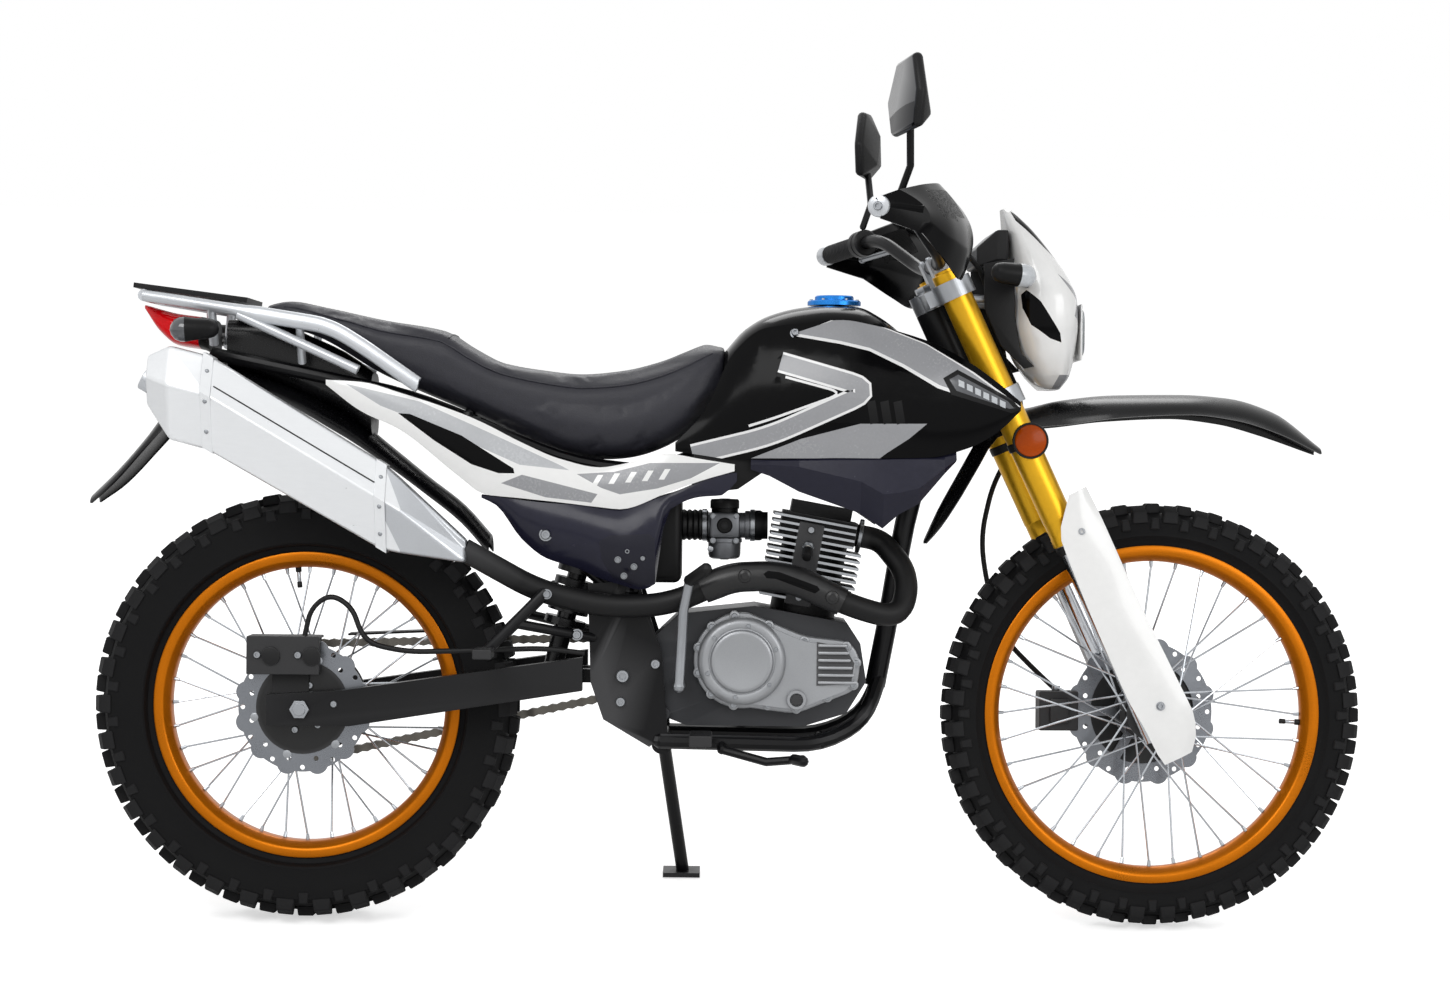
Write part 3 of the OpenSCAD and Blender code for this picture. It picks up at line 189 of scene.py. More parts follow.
@dataclass(frozen=True)
class Finish:
    """One real material: its colour, its gloss and the grain its making left.

    Sizes of patterns are in millimetres. shade is how far the colour wanders, and wear how much
    lighter its edges are rubbed.
    """

    name: str
    colour: str
    slot: str
    grain: Grain = Grain.MOULDED
    grain_mm: float = 1.6
    relief_mm: float = 0.01
    metallic: float = 0.0
    roughness: float = 0.45
    specular: float = 0.5
    spread: float = 0.08
    shade: float = 0.12
    wear: float = 0.0
    coat: float = 0.0
    clear: float = 0.0
    glow: float = 0.0

    def material(self) -> bpy.types.Material:
        """Build the material once.

        Returns:
            The material, whose pattern shows in its colour, gloss and relief.
        """
        known = bpy.data.materials.get(self.name)
        if known:
            return known
        made = bpy.data.materials.new(self.name)
        made.use_nodes = True
        made.diffuse_color = linear(self.colour)
        tree = made.node_tree
        tree.nodes.clear()
        out = add(tree, "OutputMaterial")
        place = add(tree, "TexCoord").outputs["Object"]
        stretch = BRUSH_STRETCH if self.grain is Grain.BRUSHED else (1.0, 1.0, 1.0)
        turn = (radians(STANCE.lean), radians(BRUSH_SLOPE), 0.0)
        turned = add(tree, "Mapping", {"Vector": place, "Scale": stretch, "Rotation": turn})
        fine = add(tree, "TexNoise", {
            "Vector": turned.outputs[0], "Scale": 1 / (self.grain_mm * MM), "Detail": 3.0, "Roughness": 0.55})
        pattern = fine.outputs["Fac"]
        if self.grain is Grain.COVER:
            cells = add(tree, "TexVoronoi", {"Vector": place, "Scale": 1 / (self.grain_mm * MM)},
                        feature="DISTANCE_TO_EDGE")
            pattern = add(tree, "MapRange", {
                "Value": cells.outputs["Distance"], "From Min": 0.0, "From Max": CELL_EDGE}).outputs[0]
        broad = add(tree, "TexNoise", {"Vector": place, "Scale": 1 / (BROAD_MM * MM), "Detail": 2.0})
        blend = add(tree, "Math", {0: pattern, 1: broad.outputs["Fac"]}, operation="ADD")
        half = add(tree, "Math", {0: blend.outputs[0], 1: 0.5}, operation="MULTIPLY")
        ramp = add(tree, "ValToRGB", {"Fac": half.outputs[0]})
        for stop, at, way in zip(ramp.color_ramp.elements, PATTERN_RANGE, (-1, 1)):
            stop.position = at
            stop.color = linear(self.colour, 1 + way * self.shade)
        colour = ramp.outputs["Color"]
        if self.wear > 0:
            edge = add(tree, "NewGeometry").outputs["Pointiness"]
            rub = add(tree, "MapRange", {
                "Value": edge, "From Min": RUBBED_EDGE[0], "From Max": RUBBED_EDGE[1], "To Max": self.wear})
            colour = add(tree, "MixRGB", {
                "Fac": rub.outputs[0], "Color1": colour, "Color2": linear(RUBBED_COLOUR)}).outputs[0]
        gloss = add(tree, "MapRange", {
            "Value": half.outputs[0], "From Min": PATTERN_RANGE[0], "From Max": PATTERN_RANGE[1],
            "To Min": max(0.02, self.roughness - self.spread), "To Max": min(1.0, self.roughness + self.spread)})
        relief = add(tree, "Bump", {
            "Height": pattern, "Strength": RELIEF_STRENGTH, "Distance": self.relief_mm * MM})
        skin = add(tree, "BsdfPrincipled", {
            "Base Color": colour, "Roughness": gloss.outputs[0], "Normal": relief.outputs[0],
            "Metallic": self.metallic, "Specular IOR Level": self.specular, "Coat Weight": self.coat,
            "Coat Roughness": COAT_ROUGHNESS, "Transmission Weight": self.clear})
        if self.grain is Grain.BRUSHED:
            skin.inputs["Anisotropic"].default_value = BRUSH_ANISOTROPY
        if self.glow > 0:
            skin.inputs["Emission Color"].default_value = linear(self.colour)
            skin.inputs["Emission Strength"].default_value = self.glow
        tree.links.new(skin.outputs[0], out.inputs[0])
        return made


# Polypropylene, moulded with a fine leather grain: dull black with a soft sheen.
BLACK_PP = Finish("black_polypropylene", "#0a0a0b", "black_plastic", grain_mm=1.4, relief_mm=0.05, roughness=0.42,
                  specular=0.18, wear=0.12)
# ABS with a polished mould: deep gloss black with a faint waviness.
GLOSS_BLACK = Finish("gloss_black_abs", "#060607", "gloss_black", grain_mm=14, roughness=0.15,
                     specular=0.09, spread=0.04)
# Polished white ABS: clean white under a clear gloss.
WHITE_ABS = Finish("white_abs", "#e9e9e8", "white_plastic", grain_mm=12, roughness=0.16,
                   spread=0.05, shade=0.025, coat=0.4)
# Through-coloured slate-navy ABS with a satin polish.
NAVY_ABS = Finish("slate_navy_abs", "#1c1c2b", "navy_plastic", grain_mm=9, roughness=0.22,
                  specular=0.25, spread=0.06, shade=0.1, coat=0.05)
# Printed vinyl films laid on the panels: flat grey and white with a slight sheen.
GREY_FILM = Finish("grey_vinyl_film", "#929396", "gloss_black", grain_mm=4, roughness=0.24, shade=0.06)
WHITE_FILM = Finish("white_vinyl_film", "#e4e4e4", "white_plastic", grain_mm=4, roughness=0.24,
                    shade=0.03)
# Grained seat cover of vinyl-coated cloth: small closed cells with dull gloss.
SEAT_VINYL = Finish("seat_vinyl", "#25252c", "seat", Grain.COVER, grain_mm=2.6, relief_mm=0.12, roughness=0.46,
                    specular=0.35, spread=0.1, shade=0.2)
# Gold anodised tube: satin metal, warm and even.
GOLD_TUBE = Finish("gold_anodised_tube", "#dda81c", "fork_gold", grain_mm=8, relief_mm=0.002, metallic=0.7,
                   roughness=0.34, spread=0.03, shade=0.06)
# Orange anodised rim: deep orange with a glint of metal.
ORANGE_RIM = Finish("orange_anodised_rim", "#bc6802", "rim", grain_mm=2.0, relief_mm=0.015, metallic=0.55,
                    roughness=0.33, specular=0.15)
# Hard-chromed fork slider: a sharp bright streak.
CHROME = Finish("hard_chrome", "#c9ccd0", "slider", grain_mm=3, relief_mm=0.005, metallic=1.0, roughness=0.12,
                spread=0.05, shade=0.04)
# Die-cast alloy under silver paint: sandy and dull.
CAST_SILVER = Finish("silver_cast_alloy", "#9b9da0", "engine_silver", Grain.CAST, grain_mm=1.3, relief_mm=0.12,
                     metallic=0.55, roughness=0.4, shade=0.08, wear=0.1)
# Bead-blasted alloy: an even, soft grey.
CLAMP_SILVER = Finish("bead_blasted_alloy", "#a9acb0", "clamp", Grain.CAST, grain_mm=0.9, relief_mm=0.06,
                      metallic=0.8, roughness=0.36, shade=0.07)
# Die-cast alloy under heat-proof black paint: sandy, its edges rubbed bright.
CAST_BLACK = Finish("black_cast_alloy", "#0d0d0e", "engine_black", Grain.CAST, grain_mm=1.4, relief_mm=0.12,
                    metallic=0.05, roughness=0.5, specular=0.25, shade=0.18, wear=0.35)
# Powder-coated steel tube: smooth black, worn at the edges.
FRAME_BLACK = Finish("black_powder_coat", "#08080a", "frame", grain_mm=2.2, relief_mm=0.03, roughness=0.34,
                     specular=0.2, shade=0.15, wear=0.2)
# Heat-proof paint on the exhaust: flat black, a little rough.
PIPE_BLACK = Finish("heat_proof_black", "#09090a", "pipe", Grain.CAST, grain_mm=1.1, relief_mm=0.06, roughness=0.5,
                    specular=0.25, shade=0.2, wear=0.15)
# Brushed aluminium sheet: bright, faintly streaked along the muffler.
MUFFLER_ALLOY = Finish("brushed_aluminium", "#ebedef", "muffler", Grain.BRUSHED, grain_mm=5, relief_mm=0.002,
                       metallic=0.5, roughness=0.3, spread=0.03, shade=0.02)
# Blue anodised alloy: bright with a clear glint.
BLUE_CAP = Finish("blue_anodised_cap", "#2484dc", "cap_blue", grain_mm=1.5, metallic=0.7,
                  roughness=0.25)
# Tyre rubber with road dust in its pores.
TYRE_RUBBER = Finish("tyre_rubber", "#0b0b0c", "tyre", Grain.CAST, grain_mm=2.4, relief_mm=0.2, roughness=0.7,
                     specular=0.15, shade=0.25, wear=0.06)
# Extruded rubber: dull black with a low sheen.
HOSE_RUBBER = Finish("hose_rubber", "#0b0b0c", "rubber", grain_mm=1.2, relief_mm=0.03, roughness=0.5, specular=0.3,
                     shade=0.2)
# Grip rubber: black, with a pattern of small cells.
GRIP_RUBBER = Finish("grip_rubber", "#0e0e10", "rubber", Grain.COVER, grain_mm=2.2, relief_mm=0.2, roughness=0.6,
                     specular=0.25, shade=0.2)
# Drawn steel wire: bright hair lines.
SPOKE_STEEL = Finish("spoke_wire", "#b9bdc2", "spoke", grain_mm=1.0, metallic=0.95, roughness=0.25)
# Zinc plate on bolts and axles: a grey glitter.
ZINC = Finish("zinc_plated_steel", "#9da0a4", "axle_steel", grain_mm=1.2, relief_mm=0.02, metallic=0.95,
              roughness=0.32)
# Ground brake steel: grey with a fine turned sheen.
DISC_STEEL = Finish("ground_brake_steel", "#7d8085", "disc", Grain.CAST, grain_mm=0.8, relief_mm=0.02, metallic=0.9,
                    roughness=0.3)
# Black paint on the hubs, rubbed pale at its edges.
HUB_BLACK = Finish("black_hub_paint", "#0d0d0e", "hub", relief_mm=0.03, roughness=0.36, specular=0.4,
                   shade=0.15, wear=0.25)
# Oiled chain steel: brownish grey in patches.
CHAIN_STEEL = Finish("oiled_chain_steel", "#6d6a64", "chain", grain_mm=1.5, relief_mm=0.02, metallic=0.9,
                     roughness=0.36, shade=0.25)
# Silver paint on the rail: smooth and softly bright.
RAIL_SILVER = Finish("silver_painted_tube", "#c4c7cb", "rail_silver", grain_mm=10, relief_mm=0.002, metallic=0.5,
                     roughness=0.3, spread=0.03, shade=0.03)
# Polished lever alloy: mid grey with a soft streak.
LEVER_ALLOY = Finish("lever_alloy", "#9c9fa3", "lever", grain_mm=1.0, relief_mm=0.02, metallic=0.9, roughness=0.32)
# Lamp lens of red polycarbonate, coloured through: glows a little.
RED_LENS = Finish("red_polycarbonate", "#cc0810", "tail_red", grain_mm=5, relief_mm=0.06, roughness=0.1,
                  specular=0.15, spread=0.04, coat=0.05, glow=0.12)
# Amber lens of the round reflectors: deep orange, with a faint painted glow, though a reflector holds no lamp.
AMBER_LENS = Finish("amber_polycarbonate", "#a24002", "tail_red", grain_mm=3, relief_mm=0.08, roughness=0.2,
                    specular=0.15, spread=0.04, glow=0.05)
# Clear lens: the reflector shows through it.
CLEAR_LENS = Finish("clear_polycarbonate", "#dfe6ea", "lens", grain_mm=8, relief_mm=0.02, roughness=0.06, spread=0.03,
                    shade=0.03, clear=0.85)
# Smoked lens: dark with a wet gloss.
SMOKED_LENS = Finish("smoked_polycarbonate", "#4a4c50", "gloss_black", grain_mm=6, relief_mm=0.05, roughness=0.12,
                     spread=0.05, coat=0.6)
# Aluminised bowl behind the head lamp's lens: mirror bright.
REFLECTOR = Finish("aluminised_reflector", "#d5d8da", "slider", grain_mm=10, relief_mm=0.2, metallic=1.0,
                   roughness=0.12, spread=0.05)
# Tinted mirror glass: a dark, sharp reflection.
MIRROR_GLASS = Finish("tinted_mirror_glass", "#26272c", "slider", grain_mm=20, relief_mm=0.002, metallic=1.0,
                      roughness=0.05, spread=0.02, shade=0.04)
# Black polypropylene with a smoother mould, on the mudguards.
MUDGUARD_PP = Finish("mudguard_polypropylene", "#08080a", "black_plastic", grain_mm=3.0, relief_mm=0.02,
                     roughness=0.28, specular=0.3, wear=0.08)
# Meshed vent moulded in the hand guards: cells 6 mm apart, drawn as dark pits whose darkness is painted shade.
GRILLE = Finish("moulded_mesh", "#09090a", "black_plastic", Grain.COVER, grain_mm=6.0, relief_mm=0.6, roughness=0.4,
                specular=0.12, shade=0.6)
# Paint on the heat shield: glossier than the pipe's.
SHIELD_BLACK = Finish("heat_shield_paint", "#121213", "pipe", grain_mm=1.4, relief_mm=0.05, roughness=0.36,
                      specular=0.45, shade=0.15)
# Aluminium cone of the muffler, left as pressed.
MUFFLER_CONE = Finish("pressed_aluminium", "#c3c6ca", "muffler", Grain.CAST, grain_mm=1.2, relief_mm=0.03,
                      metallic=0.9, roughness=0.34, shade=0.08)
# Dark spring paint: near black, softly shiny.
SPRING_PAINT = Finish("spring_enamel", "#121214", "shock", grain_mm=5, roughness=0.28, specular=0.4)
# Dark film on the lower panels: a dull patch in the navy.
NAVY_FILM = Finish("dark_navy_film", "#131320", "navy_plastic", grain_mm=3, relief_mm=0.02, roughness=0.34,
                   specular=0.3)
# Die-cast carburettor alloy, left bare and gone dull.
CARB_ALLOY = Finish("dull_die_cast_alloy", "#76787c", "engine_silver", Grain.CAST, grain_mm=1.1, relief_mm=0.06,
                    metallic=0.7, roughness=0.42, wear=0.1)
# Fired ceramic of the spark plug, with its glaze.
CERAMIC = Finish("glazed_ceramic", "#e6e4de", "white_plastic", grain_mm=4, roughness=0.15, shade=0.03)
# Clear lamp cover with a pale bulb holder behind it, drawn as one milky skin.
PALE_LENS = Finish("milky_polycarbonate", "#b9bdc1", "lens", grain_mm=3, relief_mm=0.1, roughness=0.16, coat=0.5)
# Painted shadow: a soft pale grey band laid along the upper edge of the white side panels.
PAINTED_SHADOW_FILM = Finish("painted_shadow_pale_grey", "#b3b5b8", "white_plastic", grain_mm=4, roughness=0.24,
                   shade=0.05)
# Crankcase casting under dark grey paint: sandy and dull.
CASE_GREY = Finish("dark_grey_cast_alloy", "#2b2c2f", "engine_black", Grain.CAST, grain_mm=1.4, relief_mm=0.12,
                   metallic=0.3, roughness=0.46, specular=0.4, shade=0.15, wear=0.3)
# Printed dial face: plain charcoal.
DIAL = Finish("printed_dial", "#303236", "black_plastic", grain_mm=2, roughness=0.3)


# Mesh work


def rounded(points: Sequence[Point], radius: float, steps: int = 5) -> list[Vector]:
    """Round the corners of a route.

    Args:
        points: corners, in millimetres.
        radius: how far from a corner its curve starts.
        steps: points along each curve.

    Returns:
        The smooth route.
    """
    corners = [Vector(p) for p in points]
    route = [corners[0]]
    for before, at, after in zip(corners, corners[1:], corners[2:]):
        reach = min(radius, (before - at).length / 2.05, (after - at).length / 2.05)
        a = at + reach * (before - at).normalized()
        b = at + reach * (after - at).normalized()
        for step in range(steps + 1):
            t = step / steps
            route.append((1 - t) ** 2 * a + 2 * t * (1 - t) * at + t * t * b)
    return [*route, corners[-1]]


def eased(rows: Sequence[Point], step: float) -> list[list[float]]:
    """Fill in rows of numbers by curves with no overshoot, at even steps of the first number.

    Args:
        rows: rows in rising order of their first number.
        step: wanted spacing of the first number.

    Returns:
        The denser rows, with every given row among them.
    """
    x = [row[0] for row in rows]
    made: list[list[float]] = []
    slopes = []
    for k in range(len(rows[0])):
        y = [row[k] for row in rows]
        d = [(b - a) / (q - p) for a, b, p, q in zip(y, y[1:], x, x[1:])]
        slopes.append([d[0]] + [2 * a * b / (a + b) if a * b > 0 else 0.0 for a, b in zip(d, d[1:])] + [d[-1]])
    for i in range(len(rows) - 1):
        span = x[i + 1] - x[i]
        count = max(1, round(span / step))
        for s in range(count):
            t = s / count
            h = (2 * t ** 3 - 3 * t * t + 1, t ** 3 - 2 * t * t + t, 3 * t * t - 2 * t ** 3, t ** 3 - t * t)
            made.append([h[0] * rows[i][k] + h[1] * span * slopes[k][i] + h[2] * rows[i + 1][k]
                         + h[3] * span * slopes[k][i + 1] for k in range(len(rows[0]))])
    return [*made, list(rows[-1])]


def soft_ring(x: float, low: float, high: float, half: float, power: float, count: int) -> list[Vector]:
    """Draw a ring of a soft rectangle across the bike, as the solids have it.

    Args:
        x: place along the bike.
        low: height of its lower edge.
        high: height of its upper edge.
        half: half its width.
        power: how square it is, from 2 for an ellipse.
        count: points round it.

    Returns:
        The ring.
    """
    ring = []
    for i in range(count):
        a = 2 * pi * (i + 0.5) / count
        c, s = cos(a), sin(a)
        y = half * copysign(abs(c) ** (2 / power), c)
        ring.append(Vector((x, y, (low + high) / 2 + (high - low) / 2 * copysign(abs(s) ** (2 / power), s))))
    return ring


def inside(x: float, z: float, outline: Sequence[Point]) -> bool:
    """Tell whether a point of the side view lies in an outline.

    Args:
        x: place along the bike.
        z: height.
        outline: pairs of x and z.

    Returns:
        True inside.
    """
    within = False
    for (x0, z0), (x1, z1) in zip(outline, [*outline[1:], outline[0]]):
        if (z0 > z) != (z1 > z) and x < (x1 - x0) * (z - z0) / (z1 - z0) + x0:
            within = not within
    return within


def band(points: Sequence[Point], radius: float, half: float) -> list[Point]:
    """Outline a stripe of the side view.

    Args:
        points: pairs of x and z along its middle.
        radius: how far from a corner its bend starts.
        half: half its width.

    Returns:
        Pairs of x and z round the stripe.
    """
    route = rounded([(x, 0, z) for x, z in points], radius, 5)
    sides: tuple[list[Point], list[Point]] = ([], [])
    for before, at, after in zip([route[0], *route], route, [*route[1:], route[-1]]):
        along = (after - before).normalized()
        for edge, way in zip(sides, (half, -half)):
            edge.append((at.x - along.z * way, at.z + along.x * way))
    return [*sides[0], *reversed(sides[1])]


def aim(a: Point, b: Point) -> Matrix:
    """Place a shape drawn up Z from the origin, so that it runs from a towards b.

    Args:
        a: where the origin goes.
        b: point that Z aims at.

    Returns:
        The transform.
    """
    way = Vector(b) - Vector(a)
    turn = Vector((0, 0, 1)).rotation_difference(way).to_matrix().to_4x4()
    return Matrix.Translation(Vector(a)) @ turn


class Shape:
    """A mesh under construction, in millimetres. slot numbers the finish of each part of it."""

    def __init__(self) -> None:
        """Start empty."""
        self.bm = bmesh.new()

    def take(self, part: bmesh.types.BMesh, slot: int | None = 0, place: Matrix | None = None) -> "Shape":
        """Move another mesh into this one.

        Args:
            part: mesh to take, which is freed.
            slot: finish of its faces, or None to keep what they have.
            place: transform of the mesh.

        Returns:
            This shape.
        """
        if slot is not None:
            for face in part.faces:
                face.material_index = slot
        if place is not None:
            bmesh.ops.transform(part, matrix=place, verts=part.verts)
            if place.determinant() < 0:
                bmesh.ops.reverse_faces(part, faces=part.faces)
        mesh = bpy.data.meshes.new("scratch")
        part.to_mesh(mesh)
        part.free()
        self.bm.from_mesh(mesh)
        bpy.data.meshes.remove(mesh)
        return self

    def both(self) -> "Shape":
        """Add the mirror image across the bike's middle."""
        copy = self.bm.copy()
        return self.take(copy, None, MIRROR)

    def repeat(self, places: Iterable[Matrix]) -> "Shape":
        """Replace the shape by copies of it.

        Args:
            places: transform of each copy.

        Returns:
            This shape.
        """
        pattern = self.bm.copy()
        self.bm.clear()
        for place in places:
            self.take(pattern.copy(), None, place)
        pattern.free()
        return self

    def box(self, low: Point, high: Point, bevel: float = 2.0, slot: int = 0, segments: int = 2) -> "Shape":
        """Add a block with rounded edges.

        Args:
            low: its lowest corner.
            high: its highest corner.
            bevel: rounding of its edges.
            slot: finish of the block.
            segments: faces across a rounded edge.

        Returns:
            This shape.
        """
        part = bmesh.new()
        bmesh.ops.create_cube(part, size=1)
        lo, hi = Vector(low), Vector(high)
        size = Matrix.Diagonal((*(hi - lo), 1))
        bmesh.ops.transform(part, matrix=Matrix.Translation((lo + hi) / 2) @ size, verts=part.verts)
        if bevel > 0:
            bmesh.ops.bevel(part, geom=part.edges[:], offset=bevel, affect="EDGES", segments=segments, profile=0.5,
                            material=-1)
        return self.take(part, slot)

    def cyl(self, a: Point, b: Point, r: float, r2: float | None = None, sides: int = 32, bevel: float = 0.0,
            slot: int = 0) -> "Shape":
        """Add a cylinder or cone with its end edges rounded.

        Args:
            a: middle of its foot.
            b: middle of its top.
            r: radius of its foot.
            r2: radius of its top, if another.
            sides: faces round it.
            bevel: rounding of the end edges.
            slot: finish of the part.

        Returns:
            This shape.
        """
        part = bmesh.new()
        length = (Vector(b) - Vector(a)).length
        bmesh.ops.create_cone(part, cap_ends=True, segments=sides, radius1=r, radius2=r if r2 is None else r2,
                              depth=length)
        if bevel > 0:
            rims = [e for e in part.edges if any(len(f.verts) > 4 for f in e.link_faces)]
            bmesh.ops.bevel(part, geom=rims, offset=bevel, affect="EDGES", segments=2, profile=0.5, material=-1)
        return self.take(part, slot, aim(a, b) @ Matrix.Translation((0, 0, length / 2)))

    def lathe(self, profile: Sequence[Point], a: Point, b: Point, steps: int = 48, slot: int = 0) -> "Shape":
        """Add a turned part.

        Args:
            profile: pairs of radius and place along the axis.
            a: where the axis starts.
            b: a point up the axis.
            steps: faces round the axis.
            slot: finish of the part.

        Returns:
            This shape.
        """
        part = bmesh.new()
        verts = [part.verts.new((r, 0, h)) for r, h in profile]
        edges = [part.edges.new(pair) for pair in zip(verts, verts[1:])]
        bmesh.ops.spin(part, geom=[*verts, *edges], cent=(0, 0, 0), axis=(0, 0, 1), angle=2 * pi, steps=steps,
                       use_merge=True)
        bmesh.ops.remove_doubles(part, verts=part.verts, dist=1e-3)
        bmesh.ops.recalc_face_normals(part, faces=part.faces)
        return self.take(part, slot, aim(a, b))

    def bolt(self, at: Point, way: Point, r: float = 5.0, slot: int = 0) -> "Shape":
        """Add a socket-head screw standing on a face.

        Args:
            at: middle of its foot.
            way: direction that it points.
            r: radius.
            slot: finish of the part.

        Returns:
            This shape.
        """
        h = r * 0.9
        profile = [(0, h * 0.35), (r * 0.5, h * 0.35), (r * 0.55, h), (r * 0.85, h), (r, h * 0.75), (r, -0.5),
                   (r * 1.35, -0.5), (r * 1.35, -1.5)]
        return self.lathe(profile, at, Vector(at) + Vector(way), 14, slot)

    def nut(self, at: Point, way: Point, r: float = 9.0, slot: int = 0) -> "Shape":
        """Add a hexagon nut on a washer.

        Args:
            at: middle of its foot.
            way: direction that it points.
            r: radius.
            slot: finish of the part.

        Returns:
            This shape.
        """
        end = Vector(at) + Vector(way).normalized() * r * 0.8
        self.cyl(at, Vector(at) + Vector(way).normalized() * 1.5, r * 1.25, sides=20, slot=slot)
        return self.cyl(at, end, r, sides=6, bevel=r * 0.1, slot=slot)

    def tube(self, points: Sequence[Point], r: float, rings: int = 4, slot: int = 0) -> "Shape":
        """Add a round tube along a route.

        Args:
            points: route, in millimetres.
            r: radius.
            rings: a quarter of the faces round it.
            slot: finish of the tube.

        Returns:
            This shape.
        """
        curve = bpy.data.curves.new("route", "CURVE")
        curve.dimensions = "3D"
        curve.bevel_depth = r
        curve.bevel_resolution = rings - 1
        curve.use_fill_caps = True
        spline = curve.splines.new("POLY")
        spline.points.add(len(points) - 1)
        for knot, point in zip(spline.points, points):
            knot.co = (*point, 1)
        holder = bpy.data.objects.new("route", curve)
        mesh = bpy.data.meshes.new_from_object(holder)
        part = bmesh.new()
        part.from_mesh(mesh)
        bmesh.ops.remove_doubles(part, verts=part.verts, dist=1e-3)
        bmesh.ops.recalc_face_normals(part, faces=part.faces)
        bpy.data.objects.remove(holder)
        bpy.data.curves.remove(curve)
        bpy.data.meshes.remove(mesh)
        return self.take(part, slot)

    def sheet(self, rows: Sequence[Sequence[Point]], closed: bool = False, caps: bool = False,
              slot: int = 0) -> "Shape":
        """Add a surface drawn out row by row.

        Args:
            rows: rows of points, all of one length.
            closed: whether each row is a ring.
            caps: whether the first and last rings are filled.
            slot: finish of the surface.

        Returns:
            This shape.
        """
        part = bmesh.new()
        row = [part.verts.new(p) for p in rows[0]]
        pairs = list(zip(row, row[1:])) + ([(row[-1], row[0])] if closed else [])
        edges = [part.edges.new(pair) for pair in pairs]
        first = list(row)
        for points in rows[1:]:
            out = bmesh.ops.extrude_edge_only(part, edges=edges)["geom"]
            fresh = {g for g in out if isinstance(g, bmesh.types.BMVert)}
            row = [next(e.other_vert(v) for e in v.link_edges if e.other_vert(v) in fresh) for v in row]
            for vert, point in zip(row, points):
                vert.co = point
            edges = [g for g in out if isinstance(g, bmesh.types.BMEdge) and all(v in fresh for v in g.verts)]
        if caps:
            part.faces.new(first)
            part.faces.new(row)
        bmesh.ops.recalc_face_normals(part, faces=part.faces)
        return self.take(part, slot)

    def paint(self, outline: Sequence[Point], slot: int) -> "Shape":
        """Cut an outline of the side view into the surface and give what lies in it a finish.

        Args:
            outline: pairs of x and z.
            slot: the finish.

        Returns:
            This shape.
        """
        x_lo, x_hi = min(p[0] for p in outline), max(p[0] for p in outline)
        z_lo, z_hi = min(p[1] for p in outline), max(p[1] for p in outline)
        for (x0, z0), (x1, z1) in zip(outline, [*outline[1:], outline[0]]):
            near = [f for f in self.bm.faces
                    if min(v.co.x for v in f.verts) < x_hi and max(v.co.x for v in f.verts) > x_lo
                    and min(v.co.z for v in f.verts) < z_hi and max(v.co.z for v in f.verts) > z_lo]
            geom = list({g for f in near for g in (f, *f.edges, *f.verts)})
            bmesh.ops.bisect_plane(self.bm, geom=geom, dist=1e-4, plane_co=(x0, 0, z0),
                                   plane_no=(z0 - z1, 0, x1 - x0))
        for face in self.bm.faces:
            middle = face.calc_center_median()
            if inside(middle.x, middle.z, outline):
                face.material_index = slot
        return self

    def prism(self, outline: Sequence[Point], y0: float, y1: float, bevel: float = 2.0, slot: int = 0) -> "Shape":
        """Add a plate of a side-view outline.

        Args:
            outline: pairs of x and z.
            y0: y of its back.
            y1: y of its face.
            bevel: rounding of the face's edge.
            slot: finish of the plate.

        Returns:
            This shape.
        """
        part = bmesh.new()
        face = part.faces.new([part.verts.new((x, y0, z)) for x, z in outline])
        moved = bmesh.ops.extrude_face_region(part, geom=[face])["geom"]
        bmesh.ops.translate(part, verts=[g for g in moved if isinstance(g, bmesh.types.BMVert)], vec=(0, y1 - y0, 0))
        bmesh.ops.recalc_face_normals(part, faces=part.faces)
        if bevel > 0:
            edge = [e for e in part.edges if all(abs(v.co.y - y1) < 1e-6 for v in e.verts)]
            bmesh.ops.bevel(part, geom=edge, offset=bevel, affect="EDGES", segments=3, profile=0.5, material=-1)
        return self.take(part, slot)

    def flatten(self, route: Sequence[Point], start: float, up: float, down: float) -> "Shape":
        """Stretch a tube into an upright flat bar, from a place along the bike onwards.

        Args:
            route: middle of the tube.
            start: x where the stretch starts.
            up: how far its upper half rises.
            down: how far its lower half drops.

        Returns:
            This shape.
        """
        for vert in self.bm.verts:
            share = min(1.0, max(0.15, (vert.co.x - start) / 40))
            middle = min(route, key=lambda p: abs(p[0] - vert.co.x))[2]
            vert.co.z += (up if vert.co.z > middle else -down) * share
        return self

    def wall(self, thickness: float) -> "Shape":
        """Give the surface a thickness on its inner side."""
        bmesh.ops.solidify(self.bm, geom=self.bm.faces[:], thickness=thickness)
        return self


def outwards(shape: Shape, way: Point = (0, 1, 0)) -> Shape:
    """Turn a sheet's faces towards a direction.

    Args:
        shape: the sheet.
        way: the direction, to the left unless one is given.

    Returns:
        The shape.
    """
    shape.bm.normal_update()
    total = sum((f.normal.dot(Vector(way)) * f.calc_area() for f in shape.bm.faces), 0.0)
    if total < 0:
        bmesh.ops.reverse_faces(shape.bm, faces=shape.bm.faces)
    return shape


def arch(rows: Sequence[Point], step: float, count: int) -> Shape:
    """Draw an arched guard over a wheel.

    Args:
        rows: rows of x, height of the edges, height of the crown and half width.
        step: spacing along the guard.
        count: points across it.

    Returns:
        Its upper surface.
    """
    grid = []
    for x, edge, crown, half in eased(rows, step):
        turns = [pi * i / (count - 1) for i in range(count)]
        grid.append([(x, half * cos(a), edge + (crown - edge) * sin(a)) for a in turns])
    return outwards(Shape().sheet(grid), (0, 0, 1))


